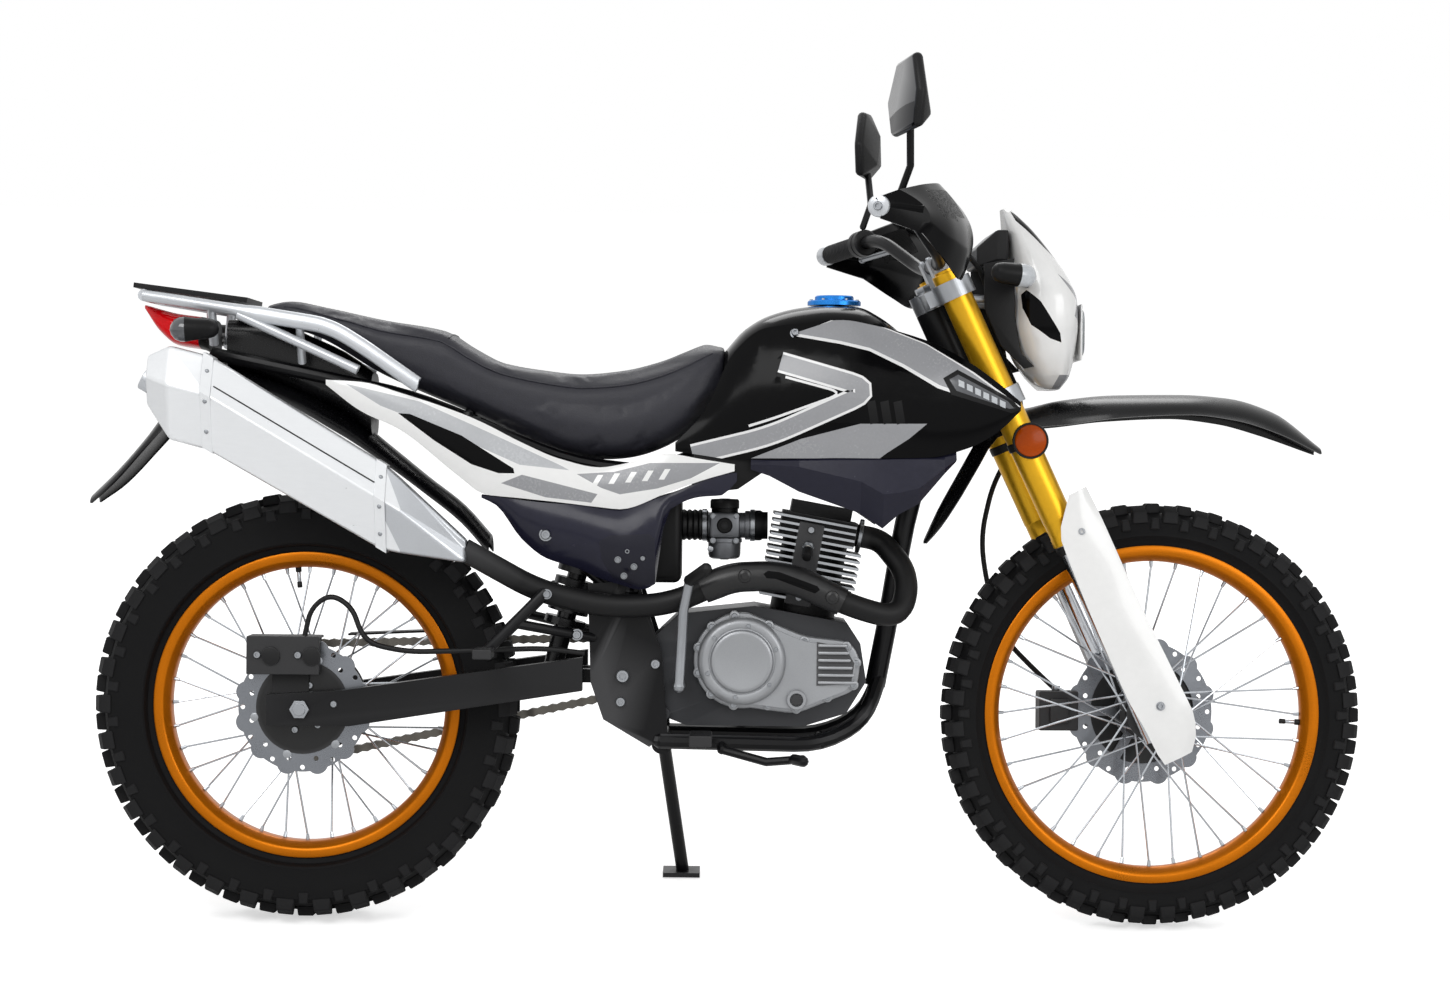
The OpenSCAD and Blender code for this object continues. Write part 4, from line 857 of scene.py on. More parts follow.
def on_side(nodes: Sequence[str], x: float, z: float) -> Vector | None:
    """Find where a line from the right meets the nearest of some solids.

    Args:
        nodes: the solids.
        x: place of the line along the bike.
        z: height of the line.

    Returns:
        The point in upright millimetres, or None where it meets nothing.
    """
    start, way = PARK @ Vector((x, -600, z)), PARK.to_3x3() @ Vector((0, 1, 0))
    found = []
    for node in nodes:
        mesh = frame["nodes"][node].data
        tree = BVHTree.FromPolygons([v.co for v in mesh.vertices], [p.vertices for p in mesh.polygons])
        hit = tree.ray_cast(start, way.normalized())[0]
        if hit is not None:
            found.append(PARK.inverted() @ hit)
    return min(found, key=lambda p: p.y) if found else None


def bolt_on(shape: Shape, nodes: Sequence[str], x: float, z: float, r: float) -> None:
    """Screw a bolt into the right-hand side of some solids, where the line meets one.

    Args:
        shape: what takes the bolt.
        nodes: the solids.
        x: place along the bike.
        z: height.
        r: radius of the bolt.
    """
    at = on_side(nodes, x, z)
    if at is not None:
        shape.bolt(at, (0, -1, 0), r)


def piece(name: str, shape: Shape, place: Matrix, body: str, finishes: Sequence[Finish], nodes: Sequence[str] = (),
          angle: float = 38.0) -> bpy.types.Object:
    """Make a finished object from a shape.

    Args:
        name: name of the piece.
        shape: its mesh in millimetres, which is freed.
        place: transform to the row frame.
        body: body that it moves with.
        finishes: finishes by slot number.
        nodes: solids that it stands for.
        angle: edges sharper than this, in degrees, stay sharp.

    Returns:
        The object.
    """
    bmesh.ops.transform(shape.bm, matrix=place, verts=shape.bm.verts)
    mesh = bpy.data.meshes.new(name)
    shape.bm.to_mesh(mesh)
    shape.bm.free()
    return settle(name, mesh, body, finishes, nodes, angle)


def fixed(name: str, shape: Shape, finishes: Sequence[Finish], nodes: Sequence[str],
          angle: float) -> bpy.types.Object:
    """Make a piece of the frame side, drawn upright."""
    return piece(name, shape, PARK, "chassis", finishes, nodes, angle)


def steer(name: str, shape: Shape, finishes: Sequence[Finish], nodes: Sequence[str],
          angle: float) -> bpy.types.Object:
    """Make a piece that turns with the bars, drawn upright."""
    return piece(name, shape, STEERED, "steering", finishes, nodes, angle)


def settle(name: str, mesh: bpy.types.Mesh, body: str, finishes: Sequence[Finish], nodes: Sequence[str],
           angle: float, bevel: float = 0.0) -> bpy.types.Object:
    """Make an object of a mesh, with its finishes and its place in the assembly.

    Args:
        name: name of the piece.
        mesh: its mesh in the row frame.
        body: body that it moves with.
        finishes: finishes by slot number.
        nodes: solids that it stands for.
        angle: edges sharper than this, in degrees, stay sharp.
        bevel: width of a bevel on sharp edges, in millimetres.

    Returns:
        The object.
    """
    made = bpy.data.objects.new(name, mesh)
    bpy.context.scene.collection.objects.link(made)
    for finish in finishes:
        mesh.materials.append(finish.material())
    mesh.shade_smooth()
    mesh.set_sharp_from_angle(angle=radians(angle))
    if bevel > 0:
        edge = made.modifiers.new("edges", "BEVEL")
        edge.width = bevel * MM
        edge.segments = 2
        edge.limit_method = "ANGLE"
        edge.angle_limit = radians(angle)
        edge.harden_normals = True
    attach(made, body)
    if nodes:
        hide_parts(*nodes)
    LOG.info("%s: %d faces on %s", name, len(mesh.polygons), body)
    return made


def dress(node: str, finish: Finish, angle: float = 32.0, bevel: float = 0.0,
          choose: Callable[[Vector, Vector], int] | None = None, others: Sequence[Finish] = ()) -> bpy.types.Object:
    """Stand a merged, smoothly shaded copy in for a solid.

    Args:
        node: solid's name.
        finish: finish of the whole.
        angle: edges sharper than this, in degrees, stay sharp.
        bevel: width of a bevel on sharp edges, in millimetres.
        choose: finish number from a face's middle and normal, in upright millimetres.
        others: finishes numbered from 1.

    Returns:
        The object.
    """
    shape = bmesh.new()
    shape.from_mesh(frame["nodes"][node].data)
    bmesh.ops.remove_doubles(shape, verts=shape.verts, dist=2e-5)
    bmesh.ops.dissolve_limit(shape, angle_limit=radians(0.6), verts=shape.verts, edges=shape.edges)
    upright = PARK.inverted()
    for face in shape.faces:
        way = (upright.to_3x3() @ face.normal).normalized()
        face.material_index = choose(upright @ face.calc_center_median(), way) if choose else 0
    mesh = bpy.data.meshes.new(node + "_dressed")
    shape.to_mesh(mesh)
    shape.free()
    body = frame["nodes"][node]["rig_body"]
    return settle(node + "_dressed", mesh, body, [finish, *others], [node], angle, bevel)


# Wheels


@dataclass
class Wheel:
    """A wire wheel with its knobbly tyre, hub and disc, round the Y axis of its axle."""

    name: str
    place: Matrix
    tyre_r: float
    tyre_w: float
    rim_r: float
    rim_w: float
    lugs: int
    flange_y: float
    disc_y: float
    disc_r: float
    valve_angle: float
    spokes: int = 36
    spoke_r: float = 1.7
    hub_r: float = 24.0
    flange_r: float = 44.0

    @property
    def body(self) -> str:
        """Body that the wheel's pieces ride on."""
        return self.name + "_wheel"

    def turn(self, degrees: float) -> Matrix:
        """Turn about the axle."""
        return Matrix.Rotation(-radians(degrees), 4, "Y")

    def block(self, y: Point, top: Point, root: Point, span: float, rake: float) -> bmesh.types.BMesh:
        """Shape one lug at the top of the wheel.

        Args:
            y: its inner and outer sides.
            top: radius of its top at those sides.
            root: radius of its foot at those sides.
            span: its length round the tyre.
            rake: how much longer its foot is on each side.

        Returns:
            The lug's mesh.
        """
        part = bmesh.new()
        bmesh.ops.create_cube(part, size=2)
        for vert in part.verts:
            side, upper = int(vert.co.y > 0), vert.co.z > 0
            r = (top if upper else root)[side]
            along = vert.co.x * (span / 2 + (0 if upper else rake))
            vert.co = (along, y[side], sqrt(max(r * r - along * along, 1.0)))
        bmesh.ops.recalc_face_normals(part, faces=part.faces)
        bmesh.ops.bevel(part, geom=part.edges[:], offset=1.5, affect="EDGES", segments=1, profile=0.5, material=-1)
        return part

    def tyre(self) -> None:
        """Build the carcass and its lugs."""
        w, r, rim, lip = self.tyre_w, self.tyre_r, self.rim_r, self.rim_w / 2
        wide = (rim + r) / 2 - 4
        half = [(rim - 11, lip - 8), (rim - 9, lip - 4),
                (rim + 2, lip - 3.2), (rim + 9, lip + 1),
                (rim + 13, w / 2 - 11), (rim + 16, w / 2 - 8.5), (rim + 19, w / 2 - 9),
                (wide, w / 2 - 5), (wide + 10, w / 2 - 4.6), (r - 33, w / 2 - 4), (r - 26, w * 0.43),
                (r - 19, w * 0.3), (r - 16.5, w * 0.16), (r - 15.6, 0)]
        profile = half + [(q, -y) for q, y in reversed(half[:-1])]
        shape = Shape().lathe(profile, (0, 0, 0), (0, 1, 0), 4 * self.lugs)
        step = 2 * pi * r / self.lugs
        lugs = Shape()
        phase = 360 / self.lugs
        for side in SIDES:
            centre = self.block((w * 0.012, w * 0.185), (r, r - 0.8), (r - 17, r - 17), step * 0.40, 2.2)
            shoulder = self.block((w * 0.262, w * 0.497), (r - 2.6, r - 14), (r - 24, r - 33), step * 0.40, 2.0)
            cheek = self.block((w / 2 - 8, w / 2 - 1.4), (r - 24, r - 26), (r - 44, r - 43), step * 0.22, 1.5)
            for lug, at in ((centre, 0.74), (shoulder, 0.24), (cheek, 0.74)):
                lugs.take(lug, 0, side @ self.turn(phase * at))
        start = -phase * 0.74
        lugs.repeat(self.turn(180 + start + phase * i) for i in range(self.lugs))
        shape.take(lugs.bm, 0)
        piece(self.name + "_tyre_knobbly", shape, self.place, self.body, [TYRE_RUBBER], [self.name + "_tyre"], 30)

    def rim(self) -> None:
        """Turn the rim and set its spoke nipples and valve."""
        r, w = self.rim_r, self.rim_w
        half = [(r - 26, 0), (r - 26, w / 2 - 20), (r - 24.5, w / 2 - 16), (r - 17, w / 2 - 3), (r - 14, w / 2 - 0.6),
                (r - 10, w / 2), (r - 2, w / 2), (r - 0.3, w / 2 - 0.8), (r, w / 2 - 2), (r - 1.6, w / 2 - 3.1),
                (r - 12, w / 2 - 3.2), (r - 12.4, w / 2 - 10), (r - 22, w / 2 - 16), (r - 22.6, 0)]
        ring = half + [(q, -y) for q, y in reversed(half)]
        shape = Shape().lathe(ring, (0, 0, 0), (0, 1, 0), 128)
        for i in range(self.spokes):
            side = 1 if i % 2 == 0 else -1
            a = radians(360 * i / self.spokes)
            way = Vector((cos(a), 0, sin(a)))
            foot = way * (r - 26.5) + Vector((0, side * 5, 0))
            shape.cyl(foot, foot - way * 9 + Vector((0, side * 1.2, 0)), 3.4, 2.6, 8, slot=1)
        v = radians(self.valve_angle)
        way = Vector((cos(v), 0, sin(v)))
        for start, end, thick, slot in ((25, 34, 5.0, 2), (34, 50, 3.4, 1), (50, 60, 4.2, 2)):
            shape.cyl(way * (r - start), way * (r - end), thick, sides=14, bevel=0.8, slot=slot)
        piece(self.name + "_rim_anodised", shape, self.place, self.body, [ORANGE_RIM, SPOKE_STEEL, HOSE_RUBBER],
              [self.name + "_rim"], 42)

    def wire(self) -> None:
        """Lace the spokes into a flanged sleeve."""
        shape = Shape()
        end = self.rim_r - 34
        for i in range(self.spokes):
            side = 1 if i % 2 == 0 else -1
            cross = 52 if (i // 2) % 2 == 0 else -52
            a, b = radians(360 * i / self.spokes), radians(360 * i / self.spokes + cross)
            lift = 2 if cross > 0 else -2
            hook = Vector(((self.flange_r - 5) * cos(b), side * self.flange_y + lift,
                           (self.flange_r - 5) * sin(b)))
            tip = Vector((end * cos(a), side * 5.5, end * sin(a)))
            shape.tube([hook + Vector((0, -lift * 1.6, 0)), hook, tip], self.spoke_r, 2)
        f, hub, edge = self.flange_y, self.hub_r, self.flange_r
        half = [(hub + 0.4, f + 5), (hub + 7, f + 5), (edge - 2, f + 4), (edge, f + 2.5),
                (edge, f - 2.5), (edge - 2, f - 4), (hub + 11, f - 6), (hub + 7, f - 14)]
        shape.lathe(half + [(q, -y) for q, y in reversed(half)], (0, 0, 0), (0, 1, 0), 48, 1)
        piece(self.name + "_laced_spokes", shape, self.place, self.body, [SPOKE_STEEL, HUB_BLACK],
              [self.name + "_spokes"], 40)

    def disc(self) -> None:
        """Dress the disc and lay its black carrier and screws over it."""
        dress(self.name + "_disc", DISC_STEEL, 30, 0.5)
        shape = Shape()
        out = 1 if self.disc_y > 0 else -1
        face = self.disc_y + (5.0 if out > 0 else -0.5)
        hole, rim = 17.0, self.disc_r - 36
        profile = [(hole, 0), (hole, 2.2), (hole + 20, 2.4), (rim - 8, 1.2), (rim, 0.9), (rim, 0)]
        shape.lathe(profile, (0, face, 0), (0, face + out, 0), 48)
        for i in range(6):
            a = radians(60 * i + 12)
            at = Vector((cos(a) * 38, face + out * 2.4, sin(a) * 38))
            shape.bolt(at, (0, out, 0), 5.5, 1)
            button = Vector((cos(a) * (rim + 4), face - out * 0.2, sin(a) * (rim + 4)))
            shape.lathe([(0, 1.6), (4.5, 1.6), (7, 0.9), (7, -0.4)], button, button + Vector((0, out, 0)), 16, 1)
        piece(self.name + "_disc_carrier", shape, self.place, self.body, [HUB_BLACK, ZINC], (), 35)

    def build(self) -> None:
        """Make every piece of the wheel."""
        self.tyre()
        self.rim()
        self.wire()
        self.disc()
        dress(self.name + "_hub", HUB_BLACK, 32, 0.6)


# Fork and what rides on it


@dataclass
class Fork:
    """The telescopic fork, its clamps and its guards, drawn up the steering axis."""

    leg_x: float = 32.0
    leg_y: float = 97.0
    tube_r: float = 25.0
    tube_low: float = 320.0
    tube_high: float = 801.0
    lower_clamp: float = 576.0
    upper_clamp: float = 771.0
    bar_cap: float = 833.2
    stem_nut: float = 786.5
    guard_t: float = 4.0

    def legs(self) -> None:
        """Build gold tubes, chromed sliders and their seals."""
        shape = Shape()
        x, y, r = self.leg_x, self.leg_y, self.tube_r
        low, high = self.tube_low, self.tube_high
        tube = [(0, high + 5), (12, high + 5), (19, high + 4), (19, high),
                (r - 1, high), (r, high - 1), (r, low + 44), (r, low + 42),
                (r - 0.8, low + 40), (r - 0.8, low + 16), (r, low + 14), (r, low + 1),
                (r - 1, low), (0, low)]
        shape.lathe(tube, (x, y, 0), (x, y, 1), 48)
        shape.both()
        piece("fork_tubes_gold", shape, ON_AXIS, "steering", [GOLD_TUBE], ["fork_tubes"], 35)
        dress("fork_sliders", CHROME, 30, 0.8)
        shape = Shape()
        shape.lathe([(20.7, 319), (23.6, 319), (24.4, 316), (24.4, 309), (22.6, 305), (20.7, 305)], (x, y, 0),
                    (x, y, 1), 36)
        shape.both()
        piece("fork_seals", shape, ON_AXIS, "steering", [HOSE_RUBBER], (), 35)
        dress("front_axle", ZINC, 30, 0.5)

    def clamps(self) -> None:
        """Dress the clamps and add their pinch bolts, the bar caps' bolts and the stem nut."""
        dress("fork_clamps", CLAMP_SILVER, 32, 1.6)
        shape = Shape()
        for z in (self.lower_clamp, self.upper_clamp):
            for dz in (-7, 7):
                for s in (-1, 1):
                    shape.bolt((self.leg_x - 18, s * (self.leg_y - 34), z + dz), (-1, 0, 0), 5, 0)
        for s in (-1, 1):
            for dx in (-9.5, 9.5):
                shape.bolt((self.leg_x + dx, s * 42, self.bar_cap), (0, 0, 1), 4.2, 0)
        shape.nut((0, 0, self.stem_nut), (0, 0, 1), 14, 0)
        piece("clamp_screws", shape, ON_AXIS, "steering", [ZINC], (), 35)

    def guards(self) -> None:
        """Form the white guards in front of the sliders."""
        rows = [[-70, 40, -10, 27], [-50, 56, -14, 28], [-10, 68, -16, 30], [60, 66, -22, 30], [200, 62, -20, 30],
                [330, 62, -14, 33], [392, 60, 28, 33]]
        grid = []
        for up, ahead, behind, out in eased(rows, 18):
            row = []
            for i in range(9):
                t = i / 8
                x = behind + (ahead - behind) * t
                bulge = out + 2 - 2 * (2 * t - 1) ** 2 if t < 0.5 else out + 2 - 8 * (2 * t - 1) ** 2
                row.append((self.leg_x + x, self.leg_y + bulge, up))
            grid.append(row)
        shape = outwards(Shape().sheet(grid)).wall(self.guard_t)
        for z in (20, 330):
            shape.bolt((self.leg_x + 22, self.leg_y + 33.0, z), (0, 1, 0), 5.5, 1)
        shape.both()
        piece("fork_guards_white", shape, ON_AXIS, "steering", [WHITE_ABS, ZINC], ["fork_guards"], 40)

    def brake(self) -> None:
        """Dress the caliper, its pins and the hose down the left leg."""
        dress("front_caliper", CAST_BLACK, 30, 3.0)
        shape = Shape()
        for z in (332, 370):
            shape.bolt((534, 90.2, z), (0, 1, 0), 6, 0)
            shape.bolt((568, 90.2, z), (0, 1, 0), 5, 0)
        shape.cyl((551, 72, 384), (551, 72, 392), 7, sides=16, bevel=1, slot=0)
        shape.box((536, 38, 330), (568, 46.2, 372), 4, 1)
        steer("front_caliper_pins", shape, [ZINC, CAST_BLACK], (), 35)
        route = [(300, -238, 1112), (350, -150, 1108), (396, -86, 1074), (420, -12, 1036), (434, 40, 985),
                 (462, 62, 925), (492, 84, 872), (494, 140, 800), (454, 146, 735), (432, 142, 640), (442, 134, 560),
                 (468, 118, 470), (520, 96, 416), (548, 74, 387.7)]
        hose = Shape().tube(rounded(route, 40, 6), 4.4, 3)
        steer("front_brake_hose_laid", hose, [HOSE_RUBBER], ["front_brake_hose"], 60)

    def build(self) -> None:
        """Make every piece of the fork."""
        self.legs()
        self.clamps()
        self.guards()
        self.brake()


@dataclass
class Cockpit:
    """Handlebar with its controls, guards and mirrors, drawn upright and then steered."""

    rise: float = 62.0
    back: float = 132.0
    half_w: float = 405.0
    clamp_x: float = 32.0
    bar_z: float = 821.0
    bar_r: float = 11.0

    def route(self) -> list[Vector]:
        """Find the corners of the handlebar, from its right end to its left.

        Returns:
            The corners.
        """
        middle = STANCE.foot() + self.clamp_x * STANCE.forward() + self.bar_z * STANCE.up()
        half = [(0, 112, 0), (66 - self.back, 215, self.rise + 4), (-self.back, self.half_w, self.rise - 8)]
        right = [middle + Vector((x, -y, z)) for x, y, z in reversed(half)]
        return right + [middle + Vector(p) for p in half]

    def at(self, along: float, ahead: float = 0.0, out: float = 0.0, up: float = 0.0) -> Vector:
        """Point on the left grip's line, measured outwards from its end, with an offset."""
        before, end = self.route()[-2:]
        return end + along * (end - before).normalized() + Vector((ahead, out, up))

    def bar(self) -> None:
        """Bend the handlebar and fit grips, perches and levers."""
        tube = Shape().tube(rounded(self.route(), 44, 8), self.bar_r, 5)
        steer("handlebar_bent", tube, [FRAME_BLACK], ["handlebar"], 50)
        ribs = [(11.4, 0), (18.5, 0), (19.5, 1), (19.5, 3), (15.6, 5)]
        for i in range(17):
            ribs += [(15.4, 6 + 6 * i), (16.5, 7 + 6 * i), (16.5, 10 + 6 * i), (15.4, 11 + 6 * i)]
        ribs += [(16.5, 110), (16.5, 115), (15, 116), (11.4, 116)]
        shape = Shape().lathe(ribs, self.at(-118), self.at(-2), 28)
        shape.lathe([(11.6, 0), (20, 0), (23, 2.5), (23, 14), (22, 15), (22, 17), (23, 18), (23, 30.5), (20, 33),
                     (11.6, 33)], self.at(-152), self.at(-119), 32, 1)
        shape.tube(rounded([self.at(-150, 4, 0, 2), self.at(-136, 70, 2, -6), self.at(-14, 52, 0, -10)], 22, 6), 5.6,
                   4, 2)
        tip = self.at(-14, 52, 0, -10)
        shape.lathe([(0, 7), (4, 6), (7, 3), (7.4, 0), (7, -3), (4, -6), (0, -7)], tip, tip + Vector((0, 0, 1)), 16,
                    2)
        for dz in (-13, 13):
            shape.bolt(self.at(-136, 22, 0, dz * 0.5), (1, 0, 0), 3.6, 3)
        shape.both()
        steer("grips_and_levers", shape, [GRIP_RUBBER, BLACK_PP, LEVER_ALLOY, ZINC], ["bar_controls"], 38)

    def guards(self) -> None:
        """Form the hand guards with their meshed vents and end brackets."""
        rows = [[-205, 78, -46, 20], [-170, 92, -84, 34], [-110, 96, -108, 42], [-50, 88, -84, 38], [16, 62, -40, 26]]
        grid = []
        shares = [i / 14 for i in range(15)]
        for along, ahead, low, high in eased(rows, 9):
            grid.append([self.at(along, ahead + 4 + 72 * t - 108 * t * t, 0, low + (high - low) * t) for t in shares])
        for k in range(1, 8):
            turn = 1 - k / 9
            grid.append([self.at(16 + 10 * sin(k / 7), 62 - 8.5 * k + turn * (4 + 72 * t - 108 * t * t), 0,
                                 -40 + 3 * k + (66 - 5 * k) * t) for t in shares])
        shape = outwards(Shape().sheet(grid), (1, 0, 0))
        for face in shape.bm.faces:
            along = (face.calc_center_median() - self.at(0)).dot((self.at(1) - self.at(0)))
            up = face.calc_center_median().z - self.at(along).z
            # The vent's faces take the mesh finish, with painted shade in its pits.
            if -168 < along < -50 and -16 < up < 30:
                face.material_index = 1
        shape.wall(4)
        shape.cyl(self.at(0.4), self.at(24), 17, sides=36, bevel=3, slot=2)
        shape.bolt(self.at(24), self.at(1) - self.at(0), 7, 3)
        shape.tube([self.at(17), self.at(16, 30), self.at(14, 66, 0, -4)], 7, 4, 0)
        shape.both()
        steer("hand_guards", shape, [GLOSS_BLACK, GRILLE, RAIL_SILVER, ZINC], ["handguards"], 40)

    def build(self) -> None:
        """Make every piece of the cockpit."""
        self.bar()
        self.guards()
        dress("mirrors", BLACK_PP, 34, 1.2, lambda at, way: 1 if way.x < -0.75 and at.z > 1225 else 0, [MIRROR_GLASS])


@dataclass
class Nose:
    """Cowl with its lamps, and the high front mudguard."""

    lamp_x: float = 564.3
    lamp_z: float = 976.0
    lamp_h: float = 92.0
    lamp_w: float = 128.0

    def cowl(self) -> None:
        """Loft the cowl and lay its black and grey areas."""
        rows = [[884, 505, 538, 44], [905, 486, 552, 74], [945, 462, 560, 100], [985, 452, 564, 112],
                [1025, 452, 562, 114], [1062, 454, 548, 106], [1100, 452, 522, 92], [1142, 446, 490, 66],
                [1180, 440, 456, 20]]
        grid = []
        for z, behind, ahead, half in eased(rows, 8):
            ring = []
            for i in range(56):
                a = 2 * pi * (i + 0.5) / 56
                c, s = cos(a), sin(a)
                ring.append(((behind + ahead) / 2 + (ahead - behind) / 2 * copysign(abs(c) ** 0.7, c),
                             half * copysign(abs(s) ** 0.7, s), z))
            grid.append(ring)
        shape = Shape().sheet(grid, closed=True, caps=True)
        shape.paint([(452, 1177), (463, 1168), (540, 1084), (543, 1072), (499, 1113), (458, 1158)], 1)
        shape.paint([(462, 1034), (469, 1041), (490, 1022), (523, 971), (526, 956), (507, 962), (476, 984),
                     (464, 1012)], 1)
        shape.paint([(519, 1068), (535, 1056), (580, 1022), (580, 981), (549, 1000), (556, 1024)], 2)
        shape.paint([(528, 905), (560, 906), (560, 878), (518, 878)], 2)
        plates = Shape().prism([(402, 1084), (452, 1094), (454, 1000), (464, 940), (486, 918), (470, 914), (430, 952),
                                (404, 1010)], -74, -78, 1)
        plates.both()
        steer("lamp_bracket_plates", plates, [BLACK_PP], (), 40)
        steer("cowl_lofted", shape, [WHITE_ABS, GLOSS_BLACK, GREY_FILM], ["cowl"], 50)

    def lamp(self) -> None:
        """Set the headlamp's lens over its reflector."""
        shape = Shape()
        x, z, h, w = self.lamp_x, self.lamp_z, self.lamp_h / 2, self.lamp_w / 2
        shape.box((x, -w, z - h), (x + 3, w, z + h), 1.2, 0)
        shape.box((x + 2.4, -w + 12, z - h + 10), (x + 3.6, w - 12, z + h - 10), 0.5, 1)
        shape.lathe([(0, 4), (8, 3.8), (13, 2.4), (14, 0)], (x + 3, 0, z), (x + 4, 0, z), 28, 1)
        rings = ((2.8, 3, 3), (5.5, 5, 6), (8.6, 9, 12), (10, 14, 19))
        shape.sheet([soft_ring(x + depth, z - h + a, z + h - a, w - b, 6, 40) for depth, a, b in rings], True, True,
                    2)
        steer("headlamp_glazed", shape, [WHITE_ABS, REFLECTOR, CLEAR_LENS], ["headlight"], 40)
        dress("instruments", BLACK_PP, 34, 4.0, lambda at, way: 1 if way.x < -0.5 else 0, [DIAL])

    def signals(self) -> None:
        """Turn the bullet-shaped signals on their stems."""
        shape = Shape()
        back, front = Vector((420, 150, 1064)), Vector((458, 142, 1060))
        length = (front - back).length
        shape.lathe([(0, -17), (8, -15), (14, -9.5), (17, 0), (18.6, length * 0.55), (19.4, length * 0.7),
                     (19.4, length * 0.74)], back, front, 32)
        shape.lathe([(19.4, length * 0.74), (18.8, length + 5), (15, length + 13), (8, length + 18),
                     (0, length + 20)],
                    back, front, 32, 1)
        shape.tube([(469.7, 97.4, 1050.7), (458, 112, 1055), (446, 130, 1060)], 7, 4, 0)
        shape.both()
        steer("front_signals_turned", shape, [BLACK_PP, PALE_LENS], ["front_signals"], 38)

    def reflectors(self) -> None:
        """Band a round amber reflector to each fork tube."""
        shape = Shape()
        at = Vector((40, 123, 497))
        shape.lathe([(0, 9), (20, 8.4), (25, 6), (26, 3.5)], at, at + Vector((0, 1, 0)), 36, 0)
        shape.lathe([(26, 4.5), (28.5, 4.5), (29.5, 3), (29.5, 0), (0, 0)], at, at + Vector((0, 1, 0)), 36, 1)
        shape.lathe([(25.2, -7), (26.6, -6), (26.6, 6), (25.2, 7)], (32, 97, 497), (32, 97, 498), 36, 1)
        shape.both()
        # The amber lenses carry a faint painted glow.
        piece("amber_reflectors", shape, ON_AXIS, "steering", [AMBER_LENS, BLACK_PP], (), 36)

    def mudguard(self) -> None:
        """Press the front mudguard as a smooth arched sheet with a wall."""
        rows = [[318, 628, 636, 14], [340, 655, 684, 32], [372, 705, 742, 44], [400, 755, 792, 50],
                [430, 802, 845.3, 54], [480, 818, 852, 60], [540, 824, 866, 66], [630, 836, 876, 88],
                [745, 842, 878, 88], [820, 834, 873, 80], [893, 814, 852, 66], [975, 782, 794, 26]]
        shape = arch(rows, 12, 21)
        shape.wall(4)
        steer("front_mudguard_pressed", shape, [MUDGUARD_PP], ["front_mudguard"], 45)

    def build(self) -> None:
        """Make every piece of the nose."""
        self.cowl()
        self.lamp()
        self.signals()
        self.reflectors()
        self.mudguard()


# Engine and exhaust


